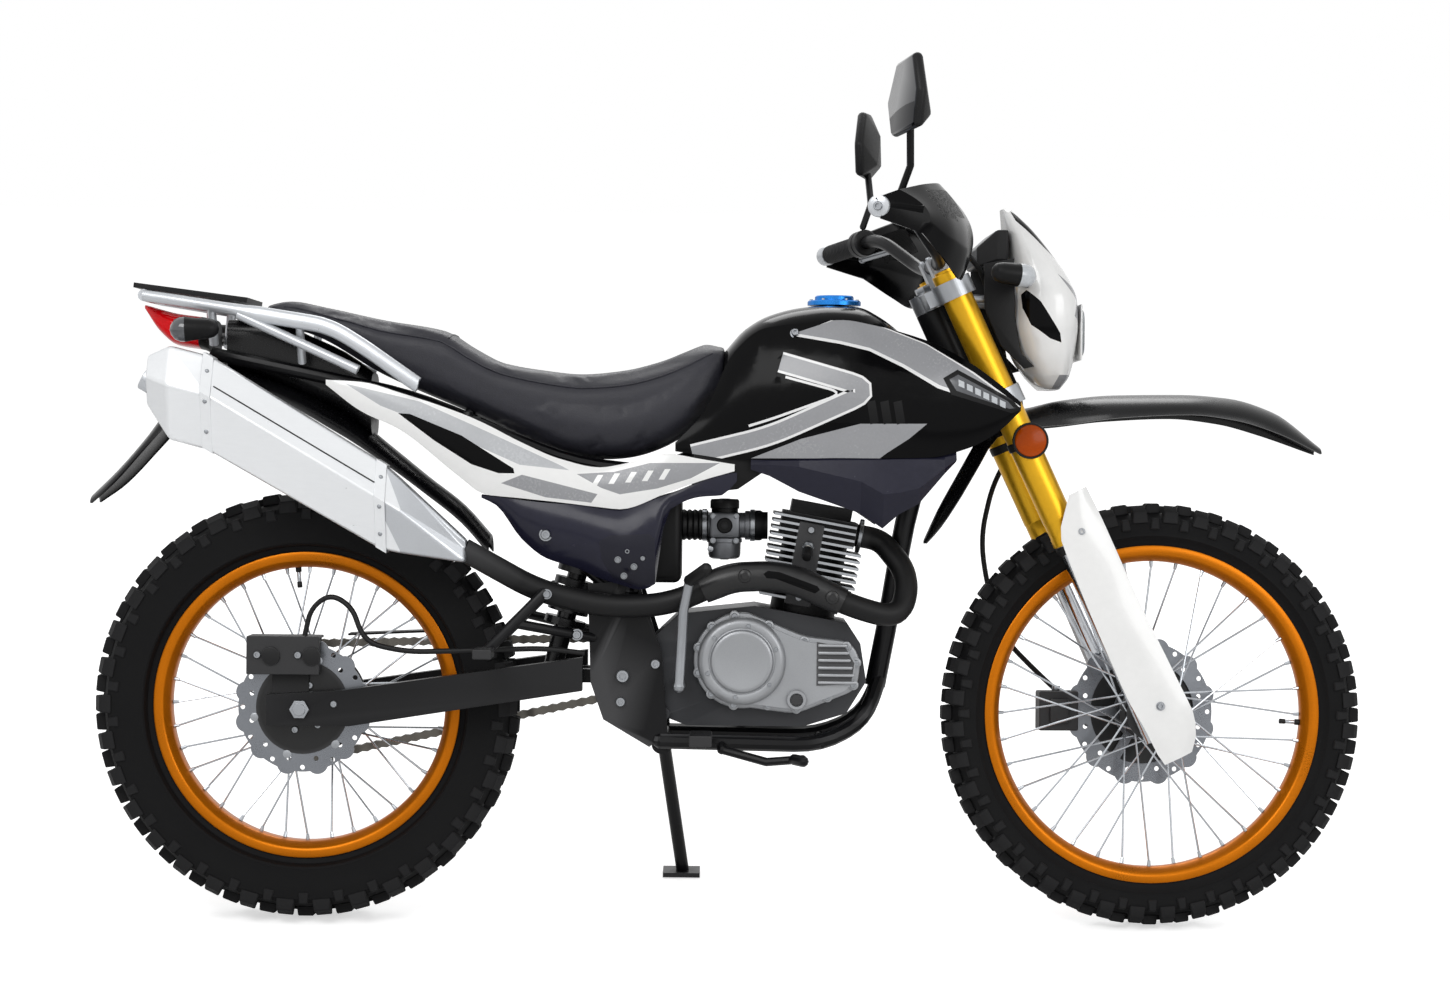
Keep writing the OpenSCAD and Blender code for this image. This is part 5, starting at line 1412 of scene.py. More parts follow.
@dataclass
class Engine:
    """Single-cylinder engine with its covers, exhaust and muffler."""

    cover_y: float = -112.3
    clutch: tuple[float, float] = (19.0, 438.0)
    header_r: float = 19.0
    barrel_foot: tuple[float, float, float] = (118.0, 0.0, 512.0)
    barrel_lean: float = 10.0
    muffler_slope: float = 0.58
    bore_z: float = 655.0
    slide_x: float = -11.0

    def block(self) -> None:
        """Dress the castings and give the barrel its plug."""
        dress("crankcase", CASE_GREY, 32, 2.0)
        dress("finned_barrel", CAST_BLACK, 32, 0.8, lambda at, way: 1 if abs(way.y) > 0.9 and abs(at.y) > 66 else 0,
              [CLAMP_SILVER])
        lean = PARK @ Matrix.Translation(self.barrel_foot) @ Matrix.Rotation(radians(self.barrel_lean), 4, "Y")
        shape = Shape().box((-34, -71.5, 12), (10, -60, 150), 5)
        for z in (26, 138):
            shape.bolt((-12, -71.4, z), (0, -1, 0), 5.5, 1)
        root, tip = Vector((-12, -71, 112)), Vector((-12, -109, 92))
        shape.lathe([(10, 0), (10, 5), (7, 6), (7, 9)], root, tip, 6, 1)
        shape.lathe([(5.4, 8), (5.4, 17), (0, 17)], root, tip, 20, 2)
        shape.lathe([(0, 15), (7.5, 15), (9, 17), (9, 35), (7, 40), (0, 41)], root, tip, 24, 3)
        piece("barrel_boss_and_plug", shape, lean, "chassis", [CAST_BLACK, ZINC, CERAMIC, HOSE_RUBBER], (), 36)

    def cover(self) -> None:
        """Form the clutch cover: a round dial with a ribbed nose ahead of it."""
        shape = Shape()
        x, z = self.clutch
        for grow, y0, y1, bevel in ((0.0, -78.3, -100.0, 3.0), (-8.0, -99.0, self.cover_y, 6.0)):
            ring = [(x + (78 + grow) * cos(a), z + (78 + grow) * sin(a))
                    for a in (radians(82 + 6 * i) for i in range(34))]
            nose = rounded([(ring[-1][0], 0, ring[-1][1]), (108, 0, 352 - grow), (206 + grow, 0, 392 - grow / 2),
                            (212 + grow, 0, 440), (196 + grow, 0, 470 + grow), (120, 0, 478 + grow),
                            (ring[0][0], 0, ring[0][1])], 18, 4)
            shape.prism([*ring, *[(p.x, p.z) for p in nose[1:-1]]], y0, y1, bevel)
        dial = [(72, -3), (71, 3), (69, 7), (65, 10), (62, 11), (55, 11.2), (53, 10), (51.5, 10.4), (50.4, 14),
                (49, 16.6), (46.5, 17.8), (44, 18), (41, 17.4), (0, 17.4)]
        shape.lathe(dial, (x, self.cover_y, z), (x, self.cover_y - 1, z), 72)
        shape.prism([(140, 399), (196, 402), (201, 436), (186, 462), (140, 470)], self.cover_y + 1,
                    self.cover_y - 0.6, 0.4, 2)
        for i in range(6):
            shape.box((142, self.cover_y - 8, 402 + 12 * i), (204 - 3 * i, self.cover_y + 1, 407 + 12 * i), 2)
            a = radians(60 * i + 20)
            shape.bolt((x + 58.5 * cos(a), -123.4, z + 58.5 * sin(a)), (0, -1, 0), 3.4, 1)
        edge = [(x + 73 * cos(a), z + 73 * sin(a)) for a in (radians(100 + 32 * i) for i in range(6))]
        for u, v in (*edge, (62, 366), (108, 361), (158, 380), (200, 400), (204, 436), (188, 462), (120, 470),
                     (62, 495)):
            shape.cyl((u, -80, v), (u, -104, v), 8.5, sides=24, bevel=1.5)
            shape.bolt((u, -103.6, v), (0, -1, 0), 5.0, 1)
        shape.lathe([(17, 0), (17, 5), (15, 7), (11, 7), (10, 5)], (108, self.cover_y, 376), (108, -120, 376), 36)
        shape.lathe([(10, 4), (10, 8), (8.5, 9.5), (0, 9.5)], (108, self.cover_y, 376), (108, -120, 376), 6, 2)
        fixed("clutch_cover_cast", shape, [CAST_SILVER, ZINC, CAST_BLACK], ["clutch_cover"], 36)

    def intake(self) -> None:
        """Form the carburettor with its float bowl, rubber sleeves and air box."""
        bore = (0, 0, self.bore_z), (1, 0, self.bore_z)
        slide = (self.slide_x, 0, 0), (self.slide_x, 0, 1)
        shape = Shape().box((-36, -27, 634), (14, 27, 676), 6)
        shape.lathe([(0, 598), (7, 598), (8, 599.5), (20, 599.5), (25, 602), (26.6, 607), (27, 626), (29, 627),
                     (29, 633), (24, 635)], *slide, 40)
        shape.lathe([(22, 674), (22, 682), (24, 683), (24, 695), (22, 698), (9, 698.6), (8, 699), (0, 699)], *slide,
                    40, 2)
        shape.lathe([(21, -40), (21, 22), (24, 23), (24, 30), (21, 31)], *bore, 40)
        ribs = [(q, d) for i in range(5) for q, d in ((23, -82 + 9 * i), (25.5, -79.5 + 9 * i), (25.5, -77 + 9 * i))]
        shape.lathe([*ribs, (23, -38)], *bore, 40, 1)
        shape.lathe([(22, 30), (25, 31), (25, 48), (22.5, 52), (22.5, 60)], *bore, 40, 1)
        shape.lathe([(13, 0), (13, 12), (11, 14), (6, 14), (6, 16), (0, 16)], (self.slide_x, -22, self.bore_z),
                    (self.slide_x, -23, self.bore_z), 28, 2)
        for u, v in ((-30, 630), (8, 630), (-30, 670), (8, 670)):
            shape.bolt((u, -27.4, v), (0, -1, 0), 3.4, 3)
        shape.cyl((-34, -20, 616), (-34, -31, 616), 5, sides=20, bevel=1, slot=3)
        for at in (-44, 35):
            shape.lathe([(25.2, -4), (26.4, -3.4), (26.4, 3.4), (25.2, 4)], (at, 0, self.bore_z),
                        (at + 1, 0, self.bore_z), 40, 3)
        shape.box((-178, -62, 561), (-81, 62, 701), 12, 2, segments=4)
        fixed("carburettor_and_box", shape, [CARB_ALLOY, HOSE_RUBBER, BLACK_PP, ZINC], ["carburettor"], 36)

    def exhaust(self) -> None:
        """Bend the header, shield it and dress the muffler."""
        corners = [(204.4, -20, 641), (246, -20, 633.6), (292, -66, 576), (274, -112, 508), (196, -126, 528),
                   (90, -128, 578), (0, -128, 574), (-100, -122, 528), (-200, -122, 524), (-310, -124, 548),
                   (-430, -146, 615)]
        shape = Shape().tube(rounded(corners, 44, 8), self.header_r, 6)
        shape.lathe([(19.2, 0), (27, 0), (28, 1), (28, 6), (27, 7), (19.2, 7)], (208, -20, 640.4), (246, -20, 633.6),
                    32, 2)
        run = rounded([(180, -126.4, 535.5), (90, -129, 578), (0, -129, 574), (-45, -126, 553)], 44, 10)
        grid = []
        for i, at in enumerate(run):
            along = (run[min(i + 1, len(run) - 1)] - run[max(i - 1, 0)]).normalized()
            out = (Vector((0, -1, 0)) - along * along.dot(Vector((0, -1, 0)))).normalized()
            up = along.cross(out)
            grow = 22.5 if i in (0, len(run) - 1) else 24.4
            turns = [radians(-112 + 14 * k) for k in range(17)]
            grid.append([at + grow * (cos(a) * out + sin(a) * up) for a in turns])
        shield = outwards(Shape().sheet(grid, slot=1), (0, -1, 0))
        # The shield's slot is not cut: a gloss black oblong is painted there as painted shade.
        shield.paint([(52, 581), (59, 586), (78, 584), (139, 562), (143, 556), (135, 550), (72, 573), (57, 574)], 3)
        shape.take(shield.wall(1.8).bm, None)
        for x, z in ((22, 577), (163, 544)):
            shape.lathe([(0, 3.5), (5, 3.5), (6, 2.4), (10, 1.6), (11, 0), (11, -3)], (x, -152.4, z), (x, -154, z),
                        24, 1)
        fixed("exhaust_header", shape, [PIPE_BLACK, SHIELD_BLACK, ZINC, GLOSS_BLACK], ["exhaust_pipe"], 42)
        dress("muffler", MUFFLER_ALLOY, 20, 5.0, lambda at, way: 1 if at.x > -545 else 0, [MUFFLER_CONE])
        self.muffler_trim()

    def muffler_trim(self) -> None:
        """Fold straps round the muffler's ends and rivet them."""
        shape = Shape()
        for x, z, high, inner, outer in ((-838, 846, 150, -92, -206), (-560, 684, 138, -92, -204)):
            h, m = high / 2 + 0.8, (inner + outer) / 2
            ring = [(inner + 0.8, z), (m + 18, z + h), (m - 22, z + h), (outer - 0.8, z + h * 0.16), (m - 26, z - h),
                    (m + 18, z - h)]
            grid = [[(x + dx, y + (grow if y > m else -grow),
                      q - dx * self.muffler_slope + (grow if q > z else -grow))
                     for y, q in ring] for dx, grow in ((-9, -0.6), (-8, 0.6), (8, 0.6), (9, -0.6))]
            shape.sheet(grid, closed=True)
        for x, heights in ((-838, (800, 848, 896)), (-560, (640, 684, 730))):
            for z in heights:
                at = on_side(("muffler",), x, z)
                if at is not None:
                    shape.lathe([(0, 3.4), (2.4, 3), (3.6, 1.6), (3.8, 0)], at, at + Vector((0, -1, 0)), 14, 1)
        groove = [on_side(("muffler",), -826 + 21.4 * i, 872 - 12.5 * i) for i in range(13)]
        shape.tube([p for p in groove if p is not None], 1.3, 2, 3)
        end = Vector((-938, -137, 882))
        way = Vector((-0.87, 0, 0.5))
        shape.lathe([(17, -6), (17, 9), (18.5, 10.5), (20.5, 9), (20.5, -6)], end, end + way, 36, 2)
        shape.lathe([(0, 0.5), (17, 0.5)], end, end + way, 36, 3)
        fixed("muffler_straps", shape, [MUFFLER_ALLOY, ZINC, MUFFLER_CONE, PIPE_BLACK], (), 36)

    def build(self) -> None:
        """Make every piece of the engine."""
        self.block()
        self.cover()
        self.intake()
        self.exhaust()


# Frame and running gear


@dataclass
class Chassis:
    """Frame, swingarm, rear drive, stand and foot controls."""

    hose_r: float = 4.4

    def steelwork(self) -> None:
        """Dress the welded pieces and bolt them together."""
        for node in ("frame", "headstock", "swingarm", "stand_bracket", "side_stand"):
            dress(node, FRAME_BLACK, 32, 1.2)
        dress("rear_axle", ZINC, 30, 0.8)
        dress("rear_shock", SPRING_PAINT, 32, 0.6)
        shape = Shape()
        for x, z, r in ((-174, 535, 7), (-121, 431, 8), (-174, 411, 11), (-177, 369, 8), (-295, 545, 6),
                        (-248, 478, 7)):
            bolt_on(shape, ("frame", "swingarm"), x, z, r)
        for x, z in ((-771, 345), (-640, 362)):
            bolt_on(shape, ("swingarm",), x, z, 5.5)
        fixed("frame_bolts", shape, [ZINC], (), 36)

    def drive(self) -> None:
        """Dress the chain, its guard and the rear brake."""
        dress("chain", CHAIN_STEEL, 30)
        dress("chain_guard", BLACK_PP, 32, 1.5)
        dress("rear_caliper", CAST_BLACK, 30, 4.0)
        shape = Shape()
        for x in (-766, -700):
            shape.bolt((x, -106.2, 440), (0, -1, 0), 6)
            shape.cyl((x + 22, -106, 438), (x + 22, -110, 438), 15, sides=28, bevel=1.5, slot=1)
        fixed("rear_caliper_pins", shape, [ZINC, CAST_BLACK], (), 36)
        route = [(-690, -100, 471.5), (-680, -104, 516), (-648, -110, 540), (-612, -118, 520), (-590, -126, 462),
                 (-520, -126, 448), (-400, -124, 452), (-300, -122, 456), (-236, -112, 448)]
        hose = Shape().tube(rounded(route, 30, 6), self.hose_r, 3)
        fixed("rear_brake_hose_laid", hose, [HOSE_RUBBER], ["rear_brake_hose"], 60)

    def kick_finish(self, at: Vector, way: Vector) -> int:
        """Finish of a face of the foot controls: bare alloy on the kick lever, rubber on its end."""
        return 0 if at.y > -90 or at.z < 390 else 2 if at.z > 556 else 1

    def feet(self) -> None:
        """Dress pegs, pedals and the kick lever."""
        dress("footpegs", CAST_BLACK, 30, 2.5, lambda at, way: 1 if way.z > 0.8 else 0, [GRIP_RUBBER])
        dress("foot_controls", FRAME_BLACK, 32, 0.8, self.kick_finish, [LEVER_ALLOY, HOSE_RUBBER])

    def build(self) -> None:
        """Make every piece of the chassis."""
        self.steelwork()
        self.drive()
        self.feet()


# Tank, panels and seat


@dataclass
class Bodywork:
    """Fuel tank, shrouds, side panels and the seat."""

    panel_t: float = 5.0
    swell_cap: float = 6.0
    voxel: float = 5.0
    pressure: float = 4.0
    frames: int = 20
    welt_r: float = 1.7
    step_x: float = -452.0

    def panel(self, rows: Sequence[Point], step: float = 12.0, count: int = 13) -> Shape:
        """Draw a left-hand panel.

        Args:
            rows: rows of x, lower and upper height, and the outer y at the bottom, middle and top.
            step: spacing along the bike.
            count: points up the panel.

        Returns:
            Its outer surface.
        """
        grid = []
        for x, low, high, y0, y1, y2 in eased(rows, step):
            row = []
            for i in range(count):
                s = i / (count - 1)
                y = y0 * (1 - s) * (1 - 2 * s) + y1 * 4 * s * (1 - s) + y2 * s * (2 * s - 1)
                row.append((x, y, low + (high - low) * s))
            grid.append(row)
        return outwards(Shape().sheet(grid))

    def tank(self) -> None:
        """Loft the tank and screw its cap on."""
        rows = [[-14, 866, 940, 92], [20, 852, 978, 112], [60, 848, 1001, 120], [110, 852, 1014, 122],
                [160, 868, 1019, 120], [205, 882, 1016, 112], [240, 896, 1000, 96], [275, 908, 974, 72],
                [292, 918, 958, 50]]
        shape = Shape().sheet([soft_ring(*row, 2.8, 64) for row in eased(rows, 9)], closed=True, caps=True)
        fixed("fuel_tank_lofted", shape, [GLOSS_BLACK], ["fuel_tank"], 50)
        base = Vector((166, 0, 1018.9))
        cap = Shape().lathe([(0, 0), (44, 0), (44, 6), (42, 8), (34, 8.4), (32, 9), (32, 14), (30, 16), (22, 16),
                             (20, 14.6), (0, 14.6)], base, base + Vector((0, 0, 1)), 56)
        for i in range(6):
            a = radians(60 * i)
            at = base + Vector((38 * cos(a), 38 * sin(a), 8.2))
            cap.bolt(at, (0, 0, 1), 2.6, 1)
        cap.box((148, -4, 1033), (184, 4, 1034.9), 0.9, 0)
        fixed("fuel_cap_turned", cap, [BLUE_CAP, ZINC], ["fuel_cap"], 36)

    def shrouds(self) -> None:
        """Form the gloss shrouds with their film stripes, lens and vents."""
        rows = [[-92, 776, 790, 124, 125, 124], [-48, 770, 838, 128, 130, 122], [2, 764, 938, 132, 140, 112],
                [50, 764, 976, 140, 152, 118], [106, 766, 984, 148, 162, 126], [177, 768, 990, 156, 170, 128],
                [217, 768, 984, 162, 174, 128], [313, 770, 957, 176, 184, 146], [377, 786, 923, 186, 192, 170],
                [425, 814, 888, 192, 196, 186], [458, 846, 860, 194, 196, 193]]
        shape = self.panel(rows, 10, 17)
        flank = [(98, 968), (171, 993), (219, 987), (309, 951), (382, 905), (456, 850), (398, 862), (329, 886),
                 (273, 919), (219, 945), (171, 956)]
        shape.paint([(94, 964), (171, 995), (219, 989), (309, 953), (384, 907), (458, 852), (396, 858), (326, 881),
                     (271, 914), (218, 940), (171, 951)], 2)
        shape.paint(flank, 1)
        bend = [(76, 921), (226, 878), (60, 802), (-64, 771)]
        shape.paint(band(bend, 40, 17), 2)
        shape.paint(band(bend, 40, 13), 1)
        shape.paint(band([(84, 897), (178, 872), (64, 830), (26, 818)], 26, 2), 2)
        shape.paint([(30, 766), (110, 798), (204, 823), (310, 824), (282, 800), (246, 776), (236, 768)], 1)
        shape.paint([(335, 897), (358, 911), (444, 864), (458, 848), (444, 842), (348, 871)], 4)
        shape.paint([(345, 895), (359, 903), (437, 861), (447, 850), (440, 849), (356, 877)], 3)
        for i in range(6):
            x, z = 364 + 13 * i, 890 - 6.3 * i
            shape.paint([(x - 4.5, z - 5), (x + 4.5, z - 9), (x + 4.5, z + 1), (x - 4.5, z + 5)], 6)
        for i in range(3):
            x = 214 + 21 * i
            shape.paint([(x, 858), (x + 13, 861), (x + 19, 826), (x + 6, 822)], 4)
        shape.wall(self.panel_t)
        at = Vector((99, 122, 968))
        shape.bolt(at + Vector((0, 12, 0)), (0, 1, 0.4), 6, 5)
        shape.both()
        fixed("tank_shrouds_formed", shape,
              [GLOSS_BLACK, GREY_FILM, WHITE_FILM, SMOKED_LENS, BLACK_PP, ZINC, PALE_LENS], ["tank_shrouds"], 40)
        self.scoops()
        trim = Shape().prism([(-66, 706), (10, 716), (62, 752), (78, 776), (-60, 786)], -121, -126, 1.5)
        trim.both()
        fixed("inner_trim", trim, [BLACK_PP], (), 40)

    def scoops(self) -> None:
        """Fold the navy scoops under the shrouds along a slanting crease."""
        rows = [(30, 748, 761, 138, 139, 139, 0.6), (60, 738, 762, 138, 142, 142, 0.75),
                (108, 713, 763, 134, 146, 148, 0.8), (207, 679, 765, 132, 158, 160, 0.6),
                (243, 655, 766, 132, 166, 164, 0.5), (268, 678, 767, 146, 174, 168, 0.4),
                (300, 696, 767, 156, 178, 174, 0.36), (339, 744, 767, 174, 180, 179, 0.4),
                (357, 764, 768.5, 181, 182, 182, 0.5)]
        grid = []
        for x, low, high, y0, y1, y2, crease in rows:
            row = []
            for share, lift in ((0, 0), (crease, 5), (1, 0)):
                y = y0 + (y1 - y0) * 2 * share if share < 0.5 else y1 + (y2 - y1) * (2 * share - 1)
                row.append((x, y + lift, low + (high - low) * share))
            tuck = 9 if x < 310 else 17
            row.append((x, y2 - 8, high + tuck))
            grid.append(row)
        shape = outwards(Shape().sheet(grid)).wall(self.panel_t)
        shape.both()
        fixed("lower_shrouds_folded", shape, [NAVY_ABS], ["lower_shrouds"], 5)

    def side_panels(self) -> None:
        """Form the white and navy side panels."""
        upper = [[-657, 878, 886, 118, 118, 118], [-600, 836, 883, 120, 124, 120], [-536, 806, 866, 122, 128, 122],
                 [-438, 730, 834, 122, 132, 124], [-400, 704, 818, 124, 134, 124], [-340, 698, 788, 128, 136, 126],
                 [-277, 692, 762, 132, 138, 128], [-213, 685, 749, 136, 140, 130], [-180, 682, 754, 138, 142, 132],
                 [-104, 709, 772, 138, 140, 132], [-50, 729, 764, 137, 138, 133], [4, 745, 756, 135, 135, 134]]
        shape = self.panel(upper, 12, 11)
        # Painted shadow: a pale grey band along the panels' upper edge.
        shape.paint([(-625, 880), (-504, 852), (-423, 817), (-277, 752), (-262, 744), (-342, 752), (-471, 808),
                     (-568, 845)], 3)
        shape.paint([(-539, 833), (-520, 832), (-436, 798), (-352, 746), (-350, 738), (-376, 738), (-420, 752),
                     (-481, 790)], 2)
        shape.paint([(-372, 722), (-338, 736), (-216, 706), (-226, 692), (-300, 700)], 1)
        shape.paint([(-250, 738), (-190, 742), (-132, 757), (-20, 758), (-66, 733), (-120, 716), (-180, 706),
                     (-210, 716)], 1)
        for i in range(5):
            x = -226 + 27 * i
            z = 728 + 2.6 * i
            shape.paint([(x, z - 8), (x + 9, z - 8), (x + 19, z + 9), (x + 10, z + 9)], 0)
        shape.wall(self.panel_t)
        shape.both()
        fixed("upper_side_panels_formed", shape, [WHITE_ABS, GREY_FILM, GLOSS_BLACK, PAINTED_SHADOW_FILM],
              ["upper_side_panels"], 40)
        lower = [[-404, 698, 702, 120, 121, 122], [-380, 686, 700, 118, 122, 124], [-339, 632, 695, 114, 128, 126],
                 [-299, 601, 691, 112, 134, 130], [-250, 586, 688, 112, 140, 132], [-210, 569, 683, 116, 146, 134],
                 [-179, 560, 680, 120, 150, 136], [-146, 552, 692, 124, 152, 136], [-122, 562, 700, 128, 150, 136],
                 [-110, 650, 704, 132, 144, 136], [-99, 682, 707, 134, 138, 136], [-51, 703, 727, 134, 136, 135],
                 [-16, 706, 739, 134, 135, 134], [8, 729, 743, 133, 133, 133]]
        shape = self.panel(lower, 10, 13)
        shape.paint([(-213, 630), (-196, 640), (-132, 643), (-123, 636), (-122, 566), (-146, 556), (-191, 571),
                     (-208, 600)], 1)
        shape.wall(self.panel_t)
        for x, z in ((-167, 615), (-182, 601), (-142, 604), (-156, 590), (-172, 575)):
            shape.bolt((x, 147.5, z), (0, 1, -0.1), 4, 2)
        shape.bolt((-299, 133.4, 640), (0, 1, 0), 8, 2)
        shape.both()
        fixed("lower_side_panels_formed", shape, [NAVY_ABS, NAVY_FILM, ZINC], ["lower_side_panels"], 40)

    def seat(self) -> None:
        """Shape the foam, let its cover swell and sew the seams."""
        rows = [[-768, 1001, 1012, 66], [-732, 982, 1015, 90], [-668, 958, 1004, 102], [-571, 902, 984, 112],
                [-474, 860, 968, 115], [-430, 842, 942, 116], [-376, 818, 916, 117], [-312, 789, 905, 118],
                [-247, 768, 899, 119], [-182, 764, 905, 117], [-118, 782, 921, 112], [-70, 812, 941, 104],
                [-34, 852, 956, 92], [-16, 868, 958, 84]]
        inset = [[x, low + 1, high - 4, half - 4] for x, low, high, half in rows]
        shape = Shape().sheet([soft_ring(*row, 4, 48) for row in eased(inset, 12)], closed=True, caps=True)
        cushion = fixed("seat_cushion", shape, [SEAT_VINYL], ["seat"], 60)
        self.swell(cushion)
        self.seams(cushion, [row for row in eased(inset, 24) if -745 < row[0] < -30])

    def swell(self, cushion: bpy.types.Object) -> None:
        """Press the cover outwards by a cloth simulation and keep its result in the mesh.

        Args:
            cushion: the seat, whose mesh is replaced.
        """
        scene = bpy.context.scene
        grid = cushion.modifiers.new("grid", "REMESH")
        grid.mode = "VOXEL"
        grid.voxel_size = self.voxel * MM
        start = bpy.data.meshes.new_from_object(cushion.evaluated_get(bpy.context.evaluated_depsgraph_get()))
        cushion.modifiers.remove(grid)
        cushion.data = start
        cloth = cushion.modifiers.new("cover", "CLOTH")
        cloth.settings.use_pressure = True
        cloth.settings.uniform_pressure_force = self.pressure
        cloth.settings.effector_weights.gravity = 0.0
        cloth.point_cache.frame_start, cloth.point_cache.frame_end = 1, self.frames
        for number in range(1, self.frames + 1):
            scene.frame_set(number)
        swollen = bpy.data.meshes.new_from_object(cushion.evaluated_get(bpy.context.evaluated_depsgraph_get()))
        cushion.modifiers.remove(cloth)
        scene.frame_set(1)
        for vert, goal in zip(start.vertices, swollen.vertices):
            move = goal.co - vert.co
            vert.co += move * min(1.0, self.swell_cap * MM / max(move.length, 1e-9))
        bpy.data.meshes.remove(swollen)
        start.materials.clear()
        start.materials.append(SEAT_VINYL.material())
        start.shade_smooth()
        soft = cushion.modifiers.new("soft", "SUBSURF")
        soft.levels = soft.render_levels = 1

    def seams(self, cushion: bpy.types.Object, rows: Sequence[Point]) -> None:
        """Lay welted seams along the seat's upper edges and across its step.

        Args:
            cushion: the seat.
            rows: rows of the seat's sections.
        """
        cover = cushion.evaluated_get(bpy.context.evaluated_depsgraph_get())
        tree = BVHTree.FromPolygons([v.co for v in cover.data.vertices], [p.vertices for p in cover.data.polygons])
        upright = PARK.inverted()
        shape = Shape()
        for side in (-1, 1):
            line = []
            for x, low, high, half in rows:
                goal = Vector((x, side * half * 0.93, high - (high - low) * 0.1))
                line.append(upright @ tree.find_nearest(PARK @ goal)[0])
            shape.tube(line, self.welt_r, 2)
        step = rows[min(range(len(rows)), key=lambda i: abs(rows[i][0] - self.step_x))]
        across = []
        for i in range(21):
            goal = Vector((step[0], step[3] * 0.92 * (i / 10 - 1), step[2] + 20))
            across.append(upright @ tree.find_nearest(PARK @ goal)[0])
        shape.tube(across, self.welt_r, 2)
        fixed("seat_seams", shape, [SEAT_VINYL], (), 60)

    def build(self) -> None:
        """Make every piece of the bodywork."""
        self.tank()
        self.shrouds()
        self.side_panels()
        self.seat()


# Tail


@dataclass
class Tail:
    """Rear mudguard, lamps, grab rail and rack."""

    rail_r: float = 10.0

    def mudguard(self) -> None:
        """Press the rear mudguard and its plate holder."""
        rows = [[-1052, 682, 696, 40], [-1010, 716, 736, 66], [-955, 776, 800, 74], [-905, 828, 872, 78],
                [-845, 866, 915.2, 82], [-760, 858, 890, 84], [-640, 800, 838, 80], [-560, 748, 778, 72],
                [-500, 704, 730, 66], [-440, 656, 684, 60], [-396, 606, 636, 56]]
        shape = arch(rows, 12, 19)
        shape.wall(5)
        tray = [[-828, 905, 985, 49], [-768, 888, 986, 51], [-700, 860, 961, 55], [-640, 834, 934, 58],
                [-590, 797, 900, 60]]
        shape.sheet([soft_ring(*row, 4, 40) for row in eased(tray, 20)], closed=True, caps=True)
        fixed("rear_mudguard_pressed", shape, [MUDGUARD_PP], ["rear_mudguard"], 45)

    def lamps(self) -> None:
        """Loft the tail lamp and turn the signals."""
        rows = [[-966, 1000, 1008, 30], [-938, 962, 1000, 58], [-912, 942, 994, 68], [-866, 934, 988, 72],
                [-854.4, 928, 985, 70]]
        shape = Shape().sheet([soft_ring(*row, 3.4, 48) for row in eased(rows, 6)], closed=True, caps=True)
        for face in shape.bm.faces:
            if face.calc_center_median().x > -874:
                face.material_index = 1
        fixed("tail_lamp_lofted", shape, [RED_LENS, BLACK_PP], ["tail_light"], 50)
        shape = Shape()
        back, front = Vector((-884, 144, 964)), Vector((-842, 140, 966))
        length = (front - back).length
        shape.lathe([(0, length + 16), (8, length + 14), (13.6, length + 8), (16, length), (18.4, length * 0.4),
                     (20.4, length * 0.12), (20.4, length * 0.08)], back, front, 32)
        shape.lathe([(20.4, length * 0.08), (20, -4), (16, -13), (8, -19), (0, -21)], back, front, 32, 1)
        shape.tube([(-862, 72.3, 958), (-862, 100, 959), (-862, 126, 962)], 7, 4, 0)
        shape.both()
        fixed("rear_signals_turned", shape, [BLACK_PP, SMOKED_LENS], ["rear_signals"], 38)

    def rail(self) -> None:
        """Bend the grab rail and dress the rack plate."""
        shape = Shape()
        side = rounded([(-958, 84, 1021), (-806, 116, 998), (-652, 126, 974), (-600, 131, 944), (-506, 138, 880)], 40,
                       6)
        shape.tube(side, self.rail_r - 1.2, 5)
        shape.flatten(side, -806, 3, 6)
        shape.tube([(-800, 116, 990), (-702, 123, 946), (-604, 130, 902)], 8, 5)
        shape.tube([(-700, 120, 976), (-700, 83, 914)], 7, 4)
        shape.tube([(-845, 73, 943), (-845, 108, 1003)], 8, 4)
        shape.both()
        shape.tube([(-958, -84, 1021), (-958, 84, 1021)], self.rail_r, 5)
        fixed("grab_rail_bent", shape, [RAIL_SILVER], ["grab_rail"], 45)
        dress("rack_plate", BLACK_PP, 32, 1.6)

    def build(self) -> None:
        """Make every piece of the tail."""
        self.mudguard()
        self.lamps()
        self.rail()


# Studio


